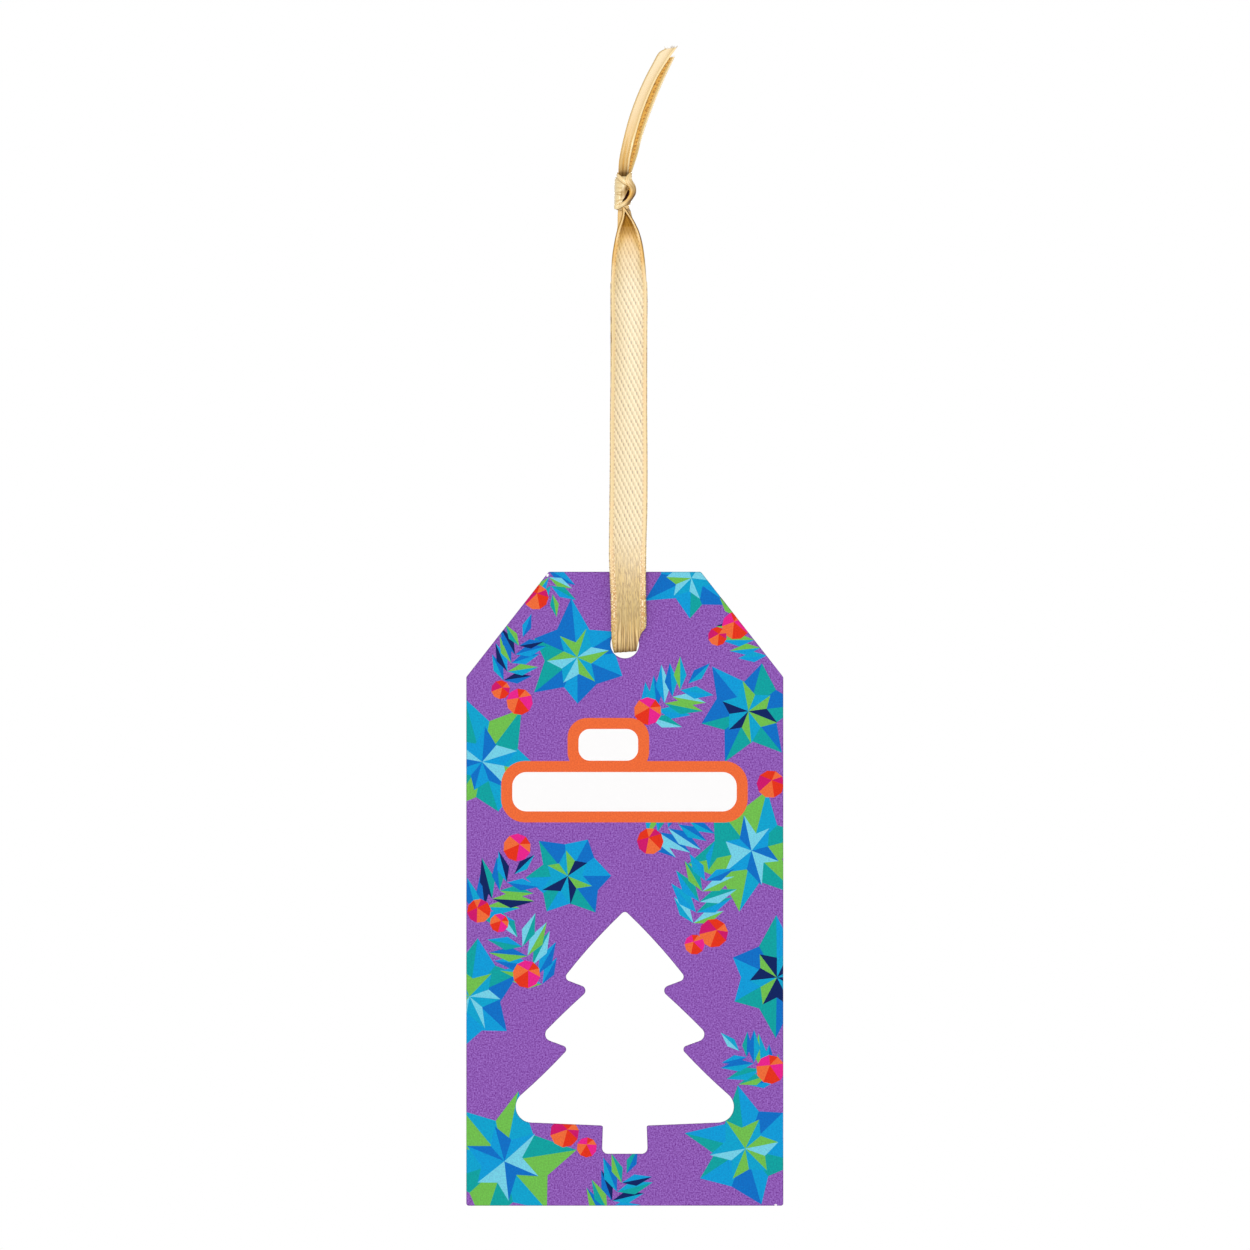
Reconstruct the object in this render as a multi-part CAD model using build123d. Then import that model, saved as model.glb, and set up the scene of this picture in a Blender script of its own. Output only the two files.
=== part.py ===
from build123d import *
import os
from math import acos, cos, radians, sin, sqrt, tan

# Gift tag on a ribbon loop, in millimetres. It hangs with its printed face towards -Y.
# The origin is the top of the loop, under the knot.

# Card: one die-cut sheet of printed board
CARD_WIDTH = 50.0
CARD_HEIGHT = 100.0
CARD_THICKNESS = 0.5
SHOULDER_RUN = 13.0
SHOULDER_DROP = 16.6
CORNER_RADIUS = 0.4
HOLE_DIAMETER = 4.5
HOLE_INSET = 11.4

# Tree window: sharp corners of the right half, as (half width, height above the card's lower edge)
TREE_TIP = (0.0, 46.55)
TIER_ENDS = ((9.7, 35.8), (13.4, 26.6), (21.4, 13.4))
WAISTS = ((5.5, 34.2), (8.8, 24.9))
TRUNK_TOP = (3.45, 12.65)
TRUNK_FOOT = (3.6, 8.2)
SIDE_BOWS = (0.3, 0.12, -0.4)
TIP_ROUND = 0.6
TIER_ROUNDS = (0.7, 1.1, 2.5)
WAIST_ROUNDS = (0.8, 0.6)
TRUNK_TOP_ROUND = 0.3
TRUNK_FOOT_ROUND = 0.9

# Ribbon: hand-chosen points of the front leg's middle line, from the knot down to the fold in the hole
RIBBON_WIDTH = 6.0
RIBBON_THICKNESS = 0.25
FRONT_ROUTE = (
    (0.0, -0.5, 0.0),
    (0.58, -1.8, -12.0),
    (0.58, -2.7, -28.0),
    (0.5, -2.1, -45.0),
    (0.45, -1.3, -58.4),
    (0.5, -1.0, -65.6),
    (0.0, -0.85, -69.28),
)
BEND_SHARE = 0.45
FOLD_DROP = 1.18
HOLE_CLEARANCE = 0.2
GATHER_RISE = 2.9
FLEX_RISE = 4.0
FLEX_LENGTH = 4.0

# Neck: where each leg cups and draws in under the knot, from its foot to the top of the loop
NECK_DROPS = (6.5, 4.5, 2.5, 0.0)
NECK_WIDTHS = (5.2, 4.4, 3.6, 2.2)
NECK_CUPS = (0.03, 0.5, 0.9, 1.05)

# Knot: a drawn-up core, a broad turn, a turn that crosses it, a collar that dips in front, and a slit
# where the last loop closes. A ring is (middle, tilt about X, tilt about Y, half width, half depth),
# and a band is (thickness, width)
KNOT_HEIGHT = 6.1
CORE_HEIGHTS = (0.0, 1.2, 3.0, 4.8)
CORE_RADII = ((1.2, 1.7), (1.25, 1.4), (1.25, 1.25), (1.25, 1.2))
CORE_TOP_RADII = (1.2, 1.35)
TURN_RING = ((-0.1, 0.0, 2.6), 0.0, 14.0, 1.2, 1.25)
TURN_BAND = (0.9, 4.4)
CROSSING_RING = ((0.1, -0.05, 4.0), 8.0, 30.0, 1.35, 1.45)
CROSSING_BAND = (0.7, 1.7)
COLLAR_RING = ((0.0, 0.1, 5.3), 26.0, 0.0, 1.3, 1.45)
COLLAR_BAND = (0.5, 0.9)
SLIT_ENDS = ((1.1, 3.5), (-0.25, 1.3))
SLIT_BOW = 0.2
SLIT_DEPTH = 0.5

# Tails: two cupped ends that lean to the right, as (x, z) of the start, middle and end
TAIL_LINE = ((-0.15, 5.6), (2.35, 15.6), (7.0, 25.9))
TAIL_WIDTH = 2.8
TAIL_CUP = 0.6
TAIL_SPACING = 1.5
FRONT_TAIL_SHIFTS = (0.0, 0.0, 0.0)
BACK_TAIL_SHIFTS = (0.15, 0.55, 0.55)
TAIL_CUT_SLANT = 12.0
TAIL_CUT_HEIGHT = 25.3

hole_radius = HOLE_DIAMETER / 2
hole_z = FRONT_ROUTE[-1][2] + FOLD_DROP
card_top = hole_z + HOLE_INSET
card_bottom = card_top - CARD_HEIGHT
flex_z = card_top + FLEX_RISE
neck_foot = -NECK_DROPS[0]


def round_corners(face, corners, radius):
    vertices = [face.vertices().sort_by_distance((x, y, 0))[0] for x, y in corners]
    return fillet(vertices, radius)


def mirrored(*corners):
    return [(side * x, y) for x, y in corners for side in (1, -1)]


# The board's outline, drawn with its lower edge on the X axis
def card_blank():
    half = CARD_WIDTH / 2
    shoulder = half - SHOULDER_RUN
    corners = [
        (-half, 0),
        (half, 0),
        (half, CARD_HEIGHT - SHOULDER_DROP),
        (shoulder, CARD_HEIGHT),
        (-shoulder, CARD_HEIGHT),
        (-half, CARD_HEIGHT - SHOULDER_DROP),
    ]
    blank = make_face(Polyline(*corners, close=True))
    return fillet(blank.vertices(), CORNER_RADIUS)


# A three-tier tree: bowed sides, undersides that slope in to each waist, and a short trunk
def tree_window():
    starts = (TREE_TIP,) + WAISTS
    edges = []
    for start, end, bow in zip(starts, TIER_ENDS, SIDE_BOWS):
        edges.append(SagittaArc(start, end, bow))
    for end, waist in zip(TIER_ENDS, WAISTS + (TRUNK_TOP,)):
        edges.append(Line(end, waist))
    edges.append(Line(TRUNK_TOP, TRUNK_FOOT))
    edges.append(Line(TRUNK_FOOT, (0, TRUNK_FOOT[1])))
    left = [mirror(edge, about=Plane.YZ) for edge in edges]
    window = make_face(edges + left)
    window = round_corners(window, [TREE_TIP], TIP_ROUND)
    for end, radius in zip(TIER_ENDS, TIER_ROUNDS):
        window = round_corners(window, mirrored(end), radius)
    for waist, radius in zip(WAISTS, WAIST_ROUNDS):
        window = round_corners(window, mirrored(waist), radius)
    window = round_corners(window, mirrored(TRUNK_TOP), TRUNK_TOP_ROUND)
    return round_corners(window, mirrored(TRUNK_FOOT), TRUNK_FOOT_ROUND)


def tag_card():
    hole = Pos(0, CARD_HEIGHT - HOLE_INSET) * Circle(hole_radius)
    sheet = Plane.XZ * Pos(0, card_bottom) * (card_blank() - hole - tree_window())
    return extrude(sheet, CARD_THICKNESS / 2, both=True)


# The loop's middle line in the YZ plane: straight runs joined by arcs as large as the runs allow
def loop_line():
    front = [Vector(0, y, z) for x, y, z in FRONT_ROUTE]
    back = [Vector(0, -point.Y, point.Z) for point in reversed(front)]
    points = front + back
    radii = []
    for before, corner, after in zip(points, points[1:], points[2:]):
        arriving = corner - before
        leaving = after - corner
        turn = radians(arriving.get_angle(leaving))
        shorter = min(arriving.length, leaving.length)
        radii.append(BEND_SHARE * shorter / tan(turn / 2))
    print("loop radii", [round(radius, 2) for radius in radii])
    return FilletPolyline(*points, radius=radii)


# The ribbon's outline seen from the front: it leans, draws in at the neck and gathers into the hole
def loop_outline():
    half = RIBBON_WIDTH / 2
    in_hole = hole_radius - HOLE_CLEARANCE
    fold_half = sqrt(in_hole**2 - (FOLD_DROP + RIBBON_THICKNESS / 2) ** 2)
    fold_foot = hole_z - FOLD_DROP - RIBBON_THICKNESS
    neck_x = neck_middle(NECK_DROPS[0])[0]
    middles = [(x, z) for x, y, z in FRONT_ROUTE[1:-2]]
    gather_x = FRONT_ROUTE[-2][0]
    gather_z = hole_z + GATHER_RISE

    def edge_points(sign):
        neck_point = (neck_x + sign * NECK_WIDTHS[0] / 2, neck_foot)
        leg = [(x + sign * half, z) for x, z in middles]
        return [neck_point] + leg + [(gather_x + sign * half, gather_z)]

    left, right = edge_points(-1), edge_points(1)
    funnel = mirrored((in_hole, hole_z), (fold_half, fold_foot))
    right_in, left_in, right_foot, left_foot = funnel
    gather = Polyline(left[-1], left_in, left_foot, right_foot, right_in, right[-1])
    return make_face([Spline(*left), gather, Spline(*right), Line(left[0], right[0])])


# A swept strip, wide enough to be trimmed to the outline
def ribbon_loop():
    line = loop_line()
    strip_width = 2 * RIBBON_WIDTH
    start = Plane(origin=line @ 0, x_dir=(1, 0, 0), z_dir=line % 0)
    strip = sweep(start * Rectangle(strip_width, RIBBON_THICKNESS), path=line)
    ratio = strip.volume / (strip_width * RIBBON_THICKNESS * line.length)
    print("loop length", round(line.length, 2))
    print("strip volume against section times length", round(ratio, 4))
    reach = max(abs(y) for x, y, z in FRONT_ROUTE) + RIBBON_THICKNESS
    return strip & extrude(Plane.XZ * loop_outline(), reach, both=True)


def between(solid, low, high):
    above = split(solid, Plane.XY.offset(low), keep=Keep.TOP)
    return split(above, Plane.XY.offset(high), keep=Keep.BOTTOM)


# Middle of the front leg at a drop below the top of the loop, on its first straight run
def neck_middle(drop):
    top, below = FRONT_ROUTE[0], FRONT_ROUTE[1]
    share = drop / -below[2]
    return tuple(a + (b - a) * share for a, b in zip(top, below))


# A strip of ribbon cut across and curled to a circle, open towards the given side along local Y
def cupped_section(width, depth, side):
    half = width / 2
    radius = (half**2 + depth**2) / (2 * depth)
    reach = acos(1 - depth / radius)

    def arc(r):
        ends = [(r * sin(angle), side * (radius - r * cos(angle))) for angle in (-reach, 0, reach)]
        return ThreePointArc(*ends), ends[0], ends[2]

    outer, outer_left, outer_right = arc(radius + RIBBON_THICKNESS / 2)
    inner, inner_left, inner_right = arc(radius - RIBBON_THICKNESS / 2)
    return make_face([outer, Line(outer_right, inner_right), inner, Line(inner_left, outer_left)])


def neck(side):
    sections = []
    for drop, width, cup in zip(NECK_DROPS, NECK_WIDTHS, NECK_CUPS):
        x, y, z = neck_middle(drop)
        sections.append(Pos(x, -side * y, z) * cupped_section(width, cup, side))
    return loft(sections)


# A leg of the loop: side -1 is the front one, side 1 the back one
def ribbon_leg(loop, side):
    strips = between(loop, flex_z + FLEX_LENGTH / 2, neck_foot)
    strip = strips.solids().sort_by(Axis.Y)[0 if side < 0 else -1]
    return strip + neck(side)


# A flat band bent to a tilted ring
def band(ring, section):
    middle, tilt_x, tilt_y, across, deep = ring
    thick, tall = section
    plane = Plane(origin=middle).rotated((tilt_x, tilt_y, 0))
    path = (plane * Ellipse(across, deep)).wire()
    profile = Plane(origin=path @ 0, x_dir=plane.x_dir, z_dir=path % 0) * Ellipse(thick / 2, tall / 2)
    return sweep(profile, path=path)


def ribbon_knot():
    heights = CORE_HEIGHTS + (KNOT_HEIGHT,)
    radii = CORE_RADII + (CORE_TOP_RADII,)
    core = loft([Pos(0, 0, z) * Ellipse(across, deep) for z, (across, deep) in zip(heights, radii)])
    wound = core + band(TURN_RING, TURN_BAND)
    wound += band(CROSSING_RING, CROSSING_BAND)
    wound += band(COLLAR_RING, COLLAR_BAND)
    top, foot = SLIT_ENDS
    lens = make_face([SagittaArc(top, foot, SLIT_BOW), SagittaArc(foot, top, SLIT_BOW)])
    floor = wound.bounding_box().min.Y + SLIT_DEPTH
    slit = extrude(Plane.XZ.offset(-floor) * lens, 2 * SLIT_DEPTH)
    return between(wound - slit, 0, KNOT_HEIGHT)


# A cut end of the ribbon, curled along its length: the front one closes over the back one
def ribbon_tail(side, shifts):
    y = side * TAIL_SPACING / 2
    start, middle, end = ((x + shift, y, z) for (x, z), shift in zip(TAIL_LINE, shifts))
    line = ThreePointArc(start, middle, end)
    along = line % 0
    across = Plane(origin=start, x_dir=Vector(0, 1, 0).cross(along), z_dir=along)
    curled = sweep(across * cupped_section(TAIL_WIDTH, TAIL_CUP, -side), path=line)
    rooted = split(curled, Plane.XY.offset(KNOT_HEIGHT), keep=Keep.TOP)
    cut = Plane(origin=(end[0], 0, TAIL_CUT_HEIGHT)).rotated((0, -TAIL_CUT_SLANT, 0))
    return split(rooted, cut, keep=Keep.BOTTOM)


loop = ribbon_loop()
nodes = {
    "tag_card": tag_card(),
    "ribbon_front_leg": ribbon_leg(loop, -1),
    "ribbon_back_leg": ribbon_leg(loop, 1),
    "ribbon_flex_zone": between(loop, flex_z - FLEX_LENGTH / 2, flex_z + FLEX_LENGTH / 2),
    "ribbon_bight": split(loop, Plane.XY.offset(flex_z - FLEX_LENGTH / 2), keep=Keep.BOTTOM),
    "ribbon_knot": ribbon_knot(),
    "ribbon_front_tail": ribbon_tail(-1, FRONT_TAIL_SHIFTS),
    "ribbon_back_tail": ribbon_tail(1, BACK_TAIL_SHIFTS),
}

os.makedirs("parts", exist_ok=True)
for name, solid in nodes.items():
    export_step(solid, f"parts/{name}.step")
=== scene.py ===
import math
import random
from functools import reduce

import bmesh
import bpy
from mathutils import Matrix, Vector
from mathutils.geometry import delaunay_2d_cdt


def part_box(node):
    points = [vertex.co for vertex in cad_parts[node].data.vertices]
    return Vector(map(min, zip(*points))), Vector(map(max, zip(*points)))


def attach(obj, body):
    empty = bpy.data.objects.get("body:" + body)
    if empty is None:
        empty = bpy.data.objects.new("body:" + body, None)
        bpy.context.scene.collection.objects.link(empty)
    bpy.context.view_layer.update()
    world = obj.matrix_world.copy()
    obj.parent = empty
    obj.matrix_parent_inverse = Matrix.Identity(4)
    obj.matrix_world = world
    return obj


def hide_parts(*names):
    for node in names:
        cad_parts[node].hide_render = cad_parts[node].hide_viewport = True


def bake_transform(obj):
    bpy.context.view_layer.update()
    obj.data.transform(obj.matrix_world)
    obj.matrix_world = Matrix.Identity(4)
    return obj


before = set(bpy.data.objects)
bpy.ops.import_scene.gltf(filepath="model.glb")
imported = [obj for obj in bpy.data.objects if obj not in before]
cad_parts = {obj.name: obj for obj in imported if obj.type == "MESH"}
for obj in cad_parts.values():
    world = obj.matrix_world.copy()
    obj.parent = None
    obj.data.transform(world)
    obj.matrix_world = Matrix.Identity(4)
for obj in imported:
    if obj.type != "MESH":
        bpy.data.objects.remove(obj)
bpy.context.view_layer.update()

# Card: a sheet of white board, printed on the front only, then punched and die-cut in one stroke.
# The die rolls the printed edge a little and leaves the white core bare along every cut.
# Sizes in millimetres; a place on the card is (x, height above its foot).
MM = 0.001
CUT_ROLL = 0.03
EDGE_LINE = 0.22
FACE_ON = 0.9
card_low, card_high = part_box("tag_card")
card_foot = card_low.z / MM


def linear(red, green, blue):
    """A colour as it is read off, 0 to 255, in the linear values that materials take."""
    shares = [value / 255 for value in (red, green, blue)]
    return [s / 12.92 if s <= 0.04045 else ((s + 0.055) / 1.055) ** 2.4 for s in shares]


INKS = {
    "purple": linear(131, 82, 167),
    "azure": linear(0, 143, 200),
    "blue": linear(0, 102, 183),
    "teal": linear(0, 149, 148),
    "cyan": linear(0, 150, 191),
    "sky": linear(107, 192, 213),
    "lime": linear(103, 176, 71),
    "navy": linear(0, 28, 86),
    "orange": linear(222, 99, 50),
    "red": linear(212, 44, 17),
    "magenta": linear(191, 14, 97),
    "pink": linear(216, 28, 129),
    "white": linear(236, 235, 235),
}
INK_GRAIN = {"purple": 1.0, "white": 0.0}
OTHER_GRAIN = 0.25


def cut_outlines():
    """The die's outlines on the printed face, as rings of places on the card, outer edge first."""
    sheet = bmesh.new()
    sheet.from_mesh(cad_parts["tag_card"].data)
    bmesh.ops.remove_doubles(sheet, verts=sheet.verts, dist=1e-6)
    onward = {}
    for face in sheet.faces:
        if face.normal.y < -FACE_ON:
            for loop in face.loops:
                if loop.link_loop_radial_next.face.normal.y > -FACE_ON:
                    onward[loop.vert] = loop.link_loop_next.vert
    rings = []
    while onward:
        vertex, following = onward.popitem()
        ring = [vertex]
        while following in onward:
            ring.append(following)
            following = onward.pop(following)
        rings.append([Vector((v.co.x / MM, v.co.z / MM - card_foot)) for v in ring])
    sheet.free()
    return sorted(rings, key=lambda ring: min(point.y for point in ring))


def covers(ring, point):
    """Whether a closed outline holds a point."""
    inside = False
    for a, b in zip(ring, ring[1:] + ring[:1]):
        if (a.y > point.y) != (b.y > point.y):
            if point.x < a.x + (b.x - a.x) * (point.y - a.y) / (b.y - a.y):
                inside = not inside
    return inside


def drawn_in(ring, inset):
    """An outline moved into the board, which lies on its left, by a small distance."""
    moved = []
    for before, point, after in zip(ring[-1:] + ring[:-1], ring, ring[1:] + ring[:1]):
        run = (point - before).normalized() + (after - point).normalized()
        moved.append(point + Vector((-run.y, run.x)) * 2 * inset / run.length_squared)
    return moved


def spot(x, height, radius, degrees):
    """The place on the card at a distance and a direction from another."""
    angle = math.radians(degrees)
    return Vector((x + radius * math.cos(angle), height + radius * math.sin(angle)))


STAR_POINTS = 6
OUTER_STAR = (1.0, 0.55, 0.0)
INNER_STAR = (0.55, 0.28, 0.5)
TIP_UNEVEN, WAIST_UNEVEN, TIP_SWING = (0.75, 1.0), (0.85, 1.15), 7


def folded_star(x, height, reach, turn, inks, seed):
    """A paper star of broad folded points, each with a light and a dark half, round a smaller star."""
    chance = random.Random(seed)
    step = 360 / STAR_POINTS
    hub = Vector((x, height))
    pieces = []
    for (size, waist, shift), palette in ((OUTER_STAR, inks[:3]), (INNER_STAR, inks[3:])):
        tips = [size * reach * chance.uniform(*TIP_UNEVEN) for _ in range(STAR_POINTS)]
        waists = [waist * reach * chance.uniform(*WAIST_UNEVEN) for _ in range(STAR_POINTS)]
        for k in range(STAR_POINTS):
            middle = turn + step * (k + shift)
            tip = spot(x, height, tips[k], middle + chance.uniform(-TIP_SWING, TIP_SWING))
            left = spot(x, height, waists[k], middle - step / 2)
            right = spot(x, height, waists[(k + 1) % STAR_POINTS], middle + step / 2)
            light, dark = chance.sample(palette, 2)
            pieces.append(([hub, left, tip], light))
            pieces.append(([hub, tip, right], dark))
    return pieces


NEEDLE_PAIRS = 5
STEM_START, STEM_RUN = 0.08, 0.62
NEEDLE_REACH, NEEDLE_TAPER, LONGEST_AT, NEEDLE_UNEVEN = 0.46, 0.16, 0.35, (0.85, 1.1)
NEEDLE_LEAN, NEEDLE_SWING = 52, 6
NEEDLE_BELLY, NEEDLE_HALF = 0.45, 0.19


def fir_sprig(x, height, length, turn, inks, seed):
    """A sprig of pairs of broad flat needles along a stem, each needle creased down its middle."""
    chance = random.Random(seed)
    pieces = []
    for k in range(NEEDLE_PAIRS + 1):
        root = spot(x, height, length * (STEM_START + STEM_RUN * k / NEEDLE_PAIRS), turn)
        reach = length * (NEEDLE_REACH - NEEDLE_TAPER * abs(k / NEEDLE_PAIRS - LONGEST_AT))
        reach *= chance.uniform(*NEEDLE_UNEVEN)
        leans = (0,) if k == NEEDLE_PAIRS else (NEEDLE_LEAN, -NEEDLE_LEAN)
        for lean in leans:
            way = turn + lean + chance.uniform(-NEEDLE_SWING, NEEDLE_SWING)
            tip = spot(root.x, root.y, reach, way)
            belly = spot(root.x, root.y, NEEDLE_BELLY * reach, way)
            upper = spot(belly.x, belly.y, NEEDLE_HALF * reach, way + 90)
            lower = spot(belly.x, belly.y, NEEDLE_HALF * reach, way - 90)
            light, dark = chance.sample(inks, 2)
            pieces.append(([root, upper, tip], light))
            pieces.append(([root, tip, lower], dark))
    return pieces


FACETS = 10
FACET_SHIFT, FACET_TURN = 0.3, 40


def bauble(x, height, radius, turn, inks):
    """A round bauble cut into flat facets that meet off its middle."""
    hub = spot(x, height, FACET_SHIFT * radius, turn + FACET_TURN)
    rim = [spot(x, height, radius, turn + 360 * k / FACETS) for k in range(FACETS)]
    pieces = []
    for k in range(FACETS):
        pieces.append(([hub, rim[k], rim[(k + 1) % FACETS]], inks[(k // 2 + k % 2) % len(inks)]))
    return pieces


CORNER_STEPS = 9


def rounded_bar(x, height, width, tall, radius):
    """The outline of a bar with rounded corners, about its middle."""
    ring = []
    for side, level, start in ((1, 1, 0), (-1, 1, 90), (-1, -1, 180), (1, -1, 270)):
        centre_x = x + side * (width / 2 - radius)
        centre_y = height + level * (tall / 2 - radius)
        turns = [start + 90 * k / CORNER_STEPS for k in range(CORNER_STEPS + 1)]
        ring += [spot(centre_x, centre_y, radius, turn) for turn in turns]
    return ring


CHIP_CORNERS, CHIP_STEP, CHIP_WAIST = 7, 51, 0.7


def worn_chip(x, height, reach):
    """The uneven outline of a chip in the ink at the card's edge."""
    reaches = [reach if k % 2 else CHIP_WAIST * reach for k in range(CHIP_CORNERS)]
    return [spot(x, height, out, CHIP_STEP * k) for k, out in enumerate(reaches)]


cool = ("azure", "blue", "teal", "sky", "lime", "cyan")
fresh = ("lime", "teal", "cyan", "azure", "sky", "blue")
deep = ("blue", "azure", "teal", "lime", "navy", "cyan")
warm = ("orange", "red", "magenta")
rosy = ("red", "pink", "orange")
STARS = (
    (-19.0, 7.0, 12.0, 12, fresh),
    (19.0, 9.0, 10.5, 40, cool),
    (24.0, 36.0, 10.0, 30, deep),
    (-24.5, 33.0, 10.5, 20, cool),
    (-9.0, 52.0, 8.5, 5, deep),
    (20.0, 56.0, 10.5, 15, fresh),
    (-22.5, 70.0, 11.0, 50, fresh),
    (19.5, 78.0, 10.0, 8, deep),
    (-7.5, 86.5, 9.5, 36, cool),
    (10.5, 99.0, 8.5, 22, cool),
)
SPRIGS = (
    (-4.0, -3.0, 13.0, 62, deep),
    (-12.5, 34.0, 13.5, 118, fresh),
    (-24.0, 45.0, 14.0, 48, deep),
    (10.5, 43.5, 14.0, 74, fresh),
    (24.5, 19.0, 12.0, 140, fresh),
    (2.5, 58.0, 14.0, 20, cool),
    (3.0, 76.5, 13.0, 40, fresh),
    (-19.5, 82.0, 12.0, 66, deep),
    (23.0, 86.0, 12.5, 128, deep),
    (-13.0, 104.0, 11.0, 282, fresh),
)
BAUBLES = (
    (-9.5, 11.5, 2.3, 10, warm),
    (-6.0, 9.2, 1.6, 50, rosy),
    (23.0, 21.5, 2.3, 60, rosy),
    (-15.5, 36.5, 2.2, 25, rosy),
    (-23.0, 46.5, 1.9, 80, warm),
    (-19.8, 44.6, 1.5, 10, rosy),
    (14.0, 43.0, 2.3, 5, warm),
    (11.0, 41.2, 1.6, 70, rosy),
    (4.0, 57.5, 2.1, 70, warm),
    (-17.0, 56.5, 2.2, 15, rosy),
    (23.0, 66.5, 2.2, 33, warm),
    (3.6, 78.0, 2.2, 20, rosy),
    (-16.6, 79.5, 2.1, 64, rosy),
    (-19.6, 81.4, 1.5, 12, warm),
    (-14.0, 96.0, 2.0, 36, warm),
    (17.5, 91.5, 2.2, 75, rosy),
    (14.6, 89.8, 1.5, 20, warm),
)
WRITING_BARS = ((-2.6, 72.7, 9.4, 5.0), (-0.05, 65.3, 35.4, 6.2))
BAR_ROUND = 0.36
BAR_MARGIN, SURROUND_ROUND = 1.75, 0.6
WORN_CHIPS = ((-12.2, 99.45, 0.3), (23.8, 0.05, 0.28), (24.95, 83.6, 0.16))


def print_layers():
    """Every printed shape from the ground colour up, as (ring, ink)."""
    layers = []
    for seed, star in enumerate(STARS):
        layers += folded_star(*star, seed)
    for seed, sprig in enumerate(SPRIGS):
        layers += fir_sprig(*sprig, seed)
    for row in BAUBLES:
        layers += bauble(*row)
    for x, height, width, tall in WRITING_BARS:
        outside = (width + 2 * BAR_MARGIN, tall + 2 * BAR_MARGIN, tall / 2 + SURROUND_ROUND)
        layers.append((rounded_bar(x, height, *outside), "orange"))
    for x, height, width, tall in WRITING_BARS:
        layers.append((rounded_bar(x, height, width, tall, BAR_ROUND * tall), "white"))
    layers += [(worn_chip(*chip), "white") for chip in WORN_CHIPS]
    return layers


def inked_faces():
    """The card's front cut up along every printed outline: its corners, and its faces as (face, ink)."""
    rings = cut_outlines()
    shapes = [(rings[0], "purple")] + print_layers() + [(ring, None) for ring in rings[1:]]
    corners, borders, reaches = [], [], []
    for ring in [ring for ring, _ in shapes] + [drawn_in(ring, EDGE_LINE) for ring in rings]:
        first = len(corners)
        borders += [(first + k, first + (k + 1) % len(ring)) for k in range(len(ring))]
        corners += ring
    for ring, _ in shapes:
        xs, ys = [p.x for p in ring], [p.y for p in ring]
        reaches.append((min(xs), max(xs), min(ys), max(ys)))
    corners, _, faces, _, _, _ = delaunay_2d_cdt(corners, borders, [], 0, 1e-4)
    inked = []
    for face in faces:
        middle = sum((corners[i] for i in face), Vector((0, 0))) / len(face)
        for (ring, ink), (left, right, low, high) in zip(reversed(shapes), reversed(reaches)):
            if left < middle.x < right and low < middle.y < high and covers(ring, middle):
                if ink and covers(rings[0], middle):
                    inked.append((face, ink))
                break
    return corners, inked


def printed_card():
    """The card's closed mesh: the inked front with its rolled edge, the bare cut edge and the bare back."""
    corners, inked = inked_faces()
    used = sorted({i for face, _ in inked for i in face})
    place = {old: new for new, old in enumerate(used)}
    front = [[place[i] for i in face] for face, _ in inked]
    count = len(used)

    rim = {}
    for face, (_, ink) in zip(front, inked):
        for a, b in zip(face, face[1:] + face[:1]):
            if (b, a) in rim:
                del rim[(b, a)]
            else:
                rim[(a, b)] = ink
    outward = {}
    for a, b in rim:
        run = corners[used[b]] - corners[used[a]]
        normal = Vector((run.y, -run.x)).normalized()
        for i in (a, b):
            outward[i] = outward.get(i, Vector((0, 0))) + normal

    roll = CUT_ROLL * MM
    ys = (card_low.y, card_low.y + roll, card_high.y - roll, card_high.y)
    points = []
    for y, inset in zip(ys, (CUT_ROLL, 0, 0, CUT_ROLL)):
        for i, old in enumerate(used):
            flat = corners[old] - outward.get(i, Vector((0, 0))).normalized() * inset
            points.append((flat.x * MM, y, (flat.y + card_foot) * MM))
    walls = []
    for level in range(len(ys) - 1):
        low, high = level * count, (level + 1) * count
        walls += [[b + low, a + low, a + high, b + high] for a, b in rim]
    back = [[i + (len(ys) - 1) * count for i in reversed(face)] for face in front]
    mesh = bpy.data.meshes.new("printed_card")
    mesh.from_pydata(points, [], front + walls + back)
    inks = [ink for _, ink in inked] + list(rim.values())
    ink_layer = mesh.color_attributes.new("ink", "FLOAT_COLOR", "CORNER")
    for polygon in mesh.polygons:
        has_ink = polygon.index < len(inks)
        polygon.material_index = 0 if has_ink else 1
        ink = inks[polygon.index] if has_ink else "white"
        for corner in polygon.loop_indices:
            ink_layer.data[corner].color = (*INKS[ink], INK_GRAIN.get(ink, OTHER_GRAIN))
    cut = mesh.attributes.new("cut", "FLOAT", "POINT")
    cut.data.foreach_set("value", [1.0 if i % count in outward else 0.0 for i in range(len(points))])
    solid = bmesh.new()
    solid.from_mesh(mesh)
    bmesh.ops.delete(solid, geom=[v for v in solid.verts if not v.link_faces], context="VERTS")
    solid.to_mesh(mesh)
    solid.free()
    return mesh


def placed(name, data):
    """An object in the scene that holds a mesh, a lamp or a camera."""
    thing = bpy.data.objects.new(name, data)
    bpy.context.scene.collection.objects.link(thing)
    return thing


def new_material(name):
    """A new material, its node tree and its shader."""
    material = bpy.data.materials.new(name)
    material.use_nodes = True
    return material, material.node_tree, material.node_tree.nodes["Principled BSDF"]


def set_up(node, values):
    """Sets a node's inputs by their names; gives the node."""
    for name, value in values.items():
        node.inputs[name].default_value = value
    return node


def calculate(tree, operation, *values, kind="Math"):
    """A Math or VectorMath node on these sockets and values; gives its first output."""
    node = tree.nodes.new(f"ShaderNode{kind}")
    node.operation = operation
    for slot, value in zip(node.inputs, values):
        if isinstance(value, bpy.types.NodeSocket):
            tree.links.new(value, slot)
        else:
            slot.default_value = value
    return node.outputs[0]


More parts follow.
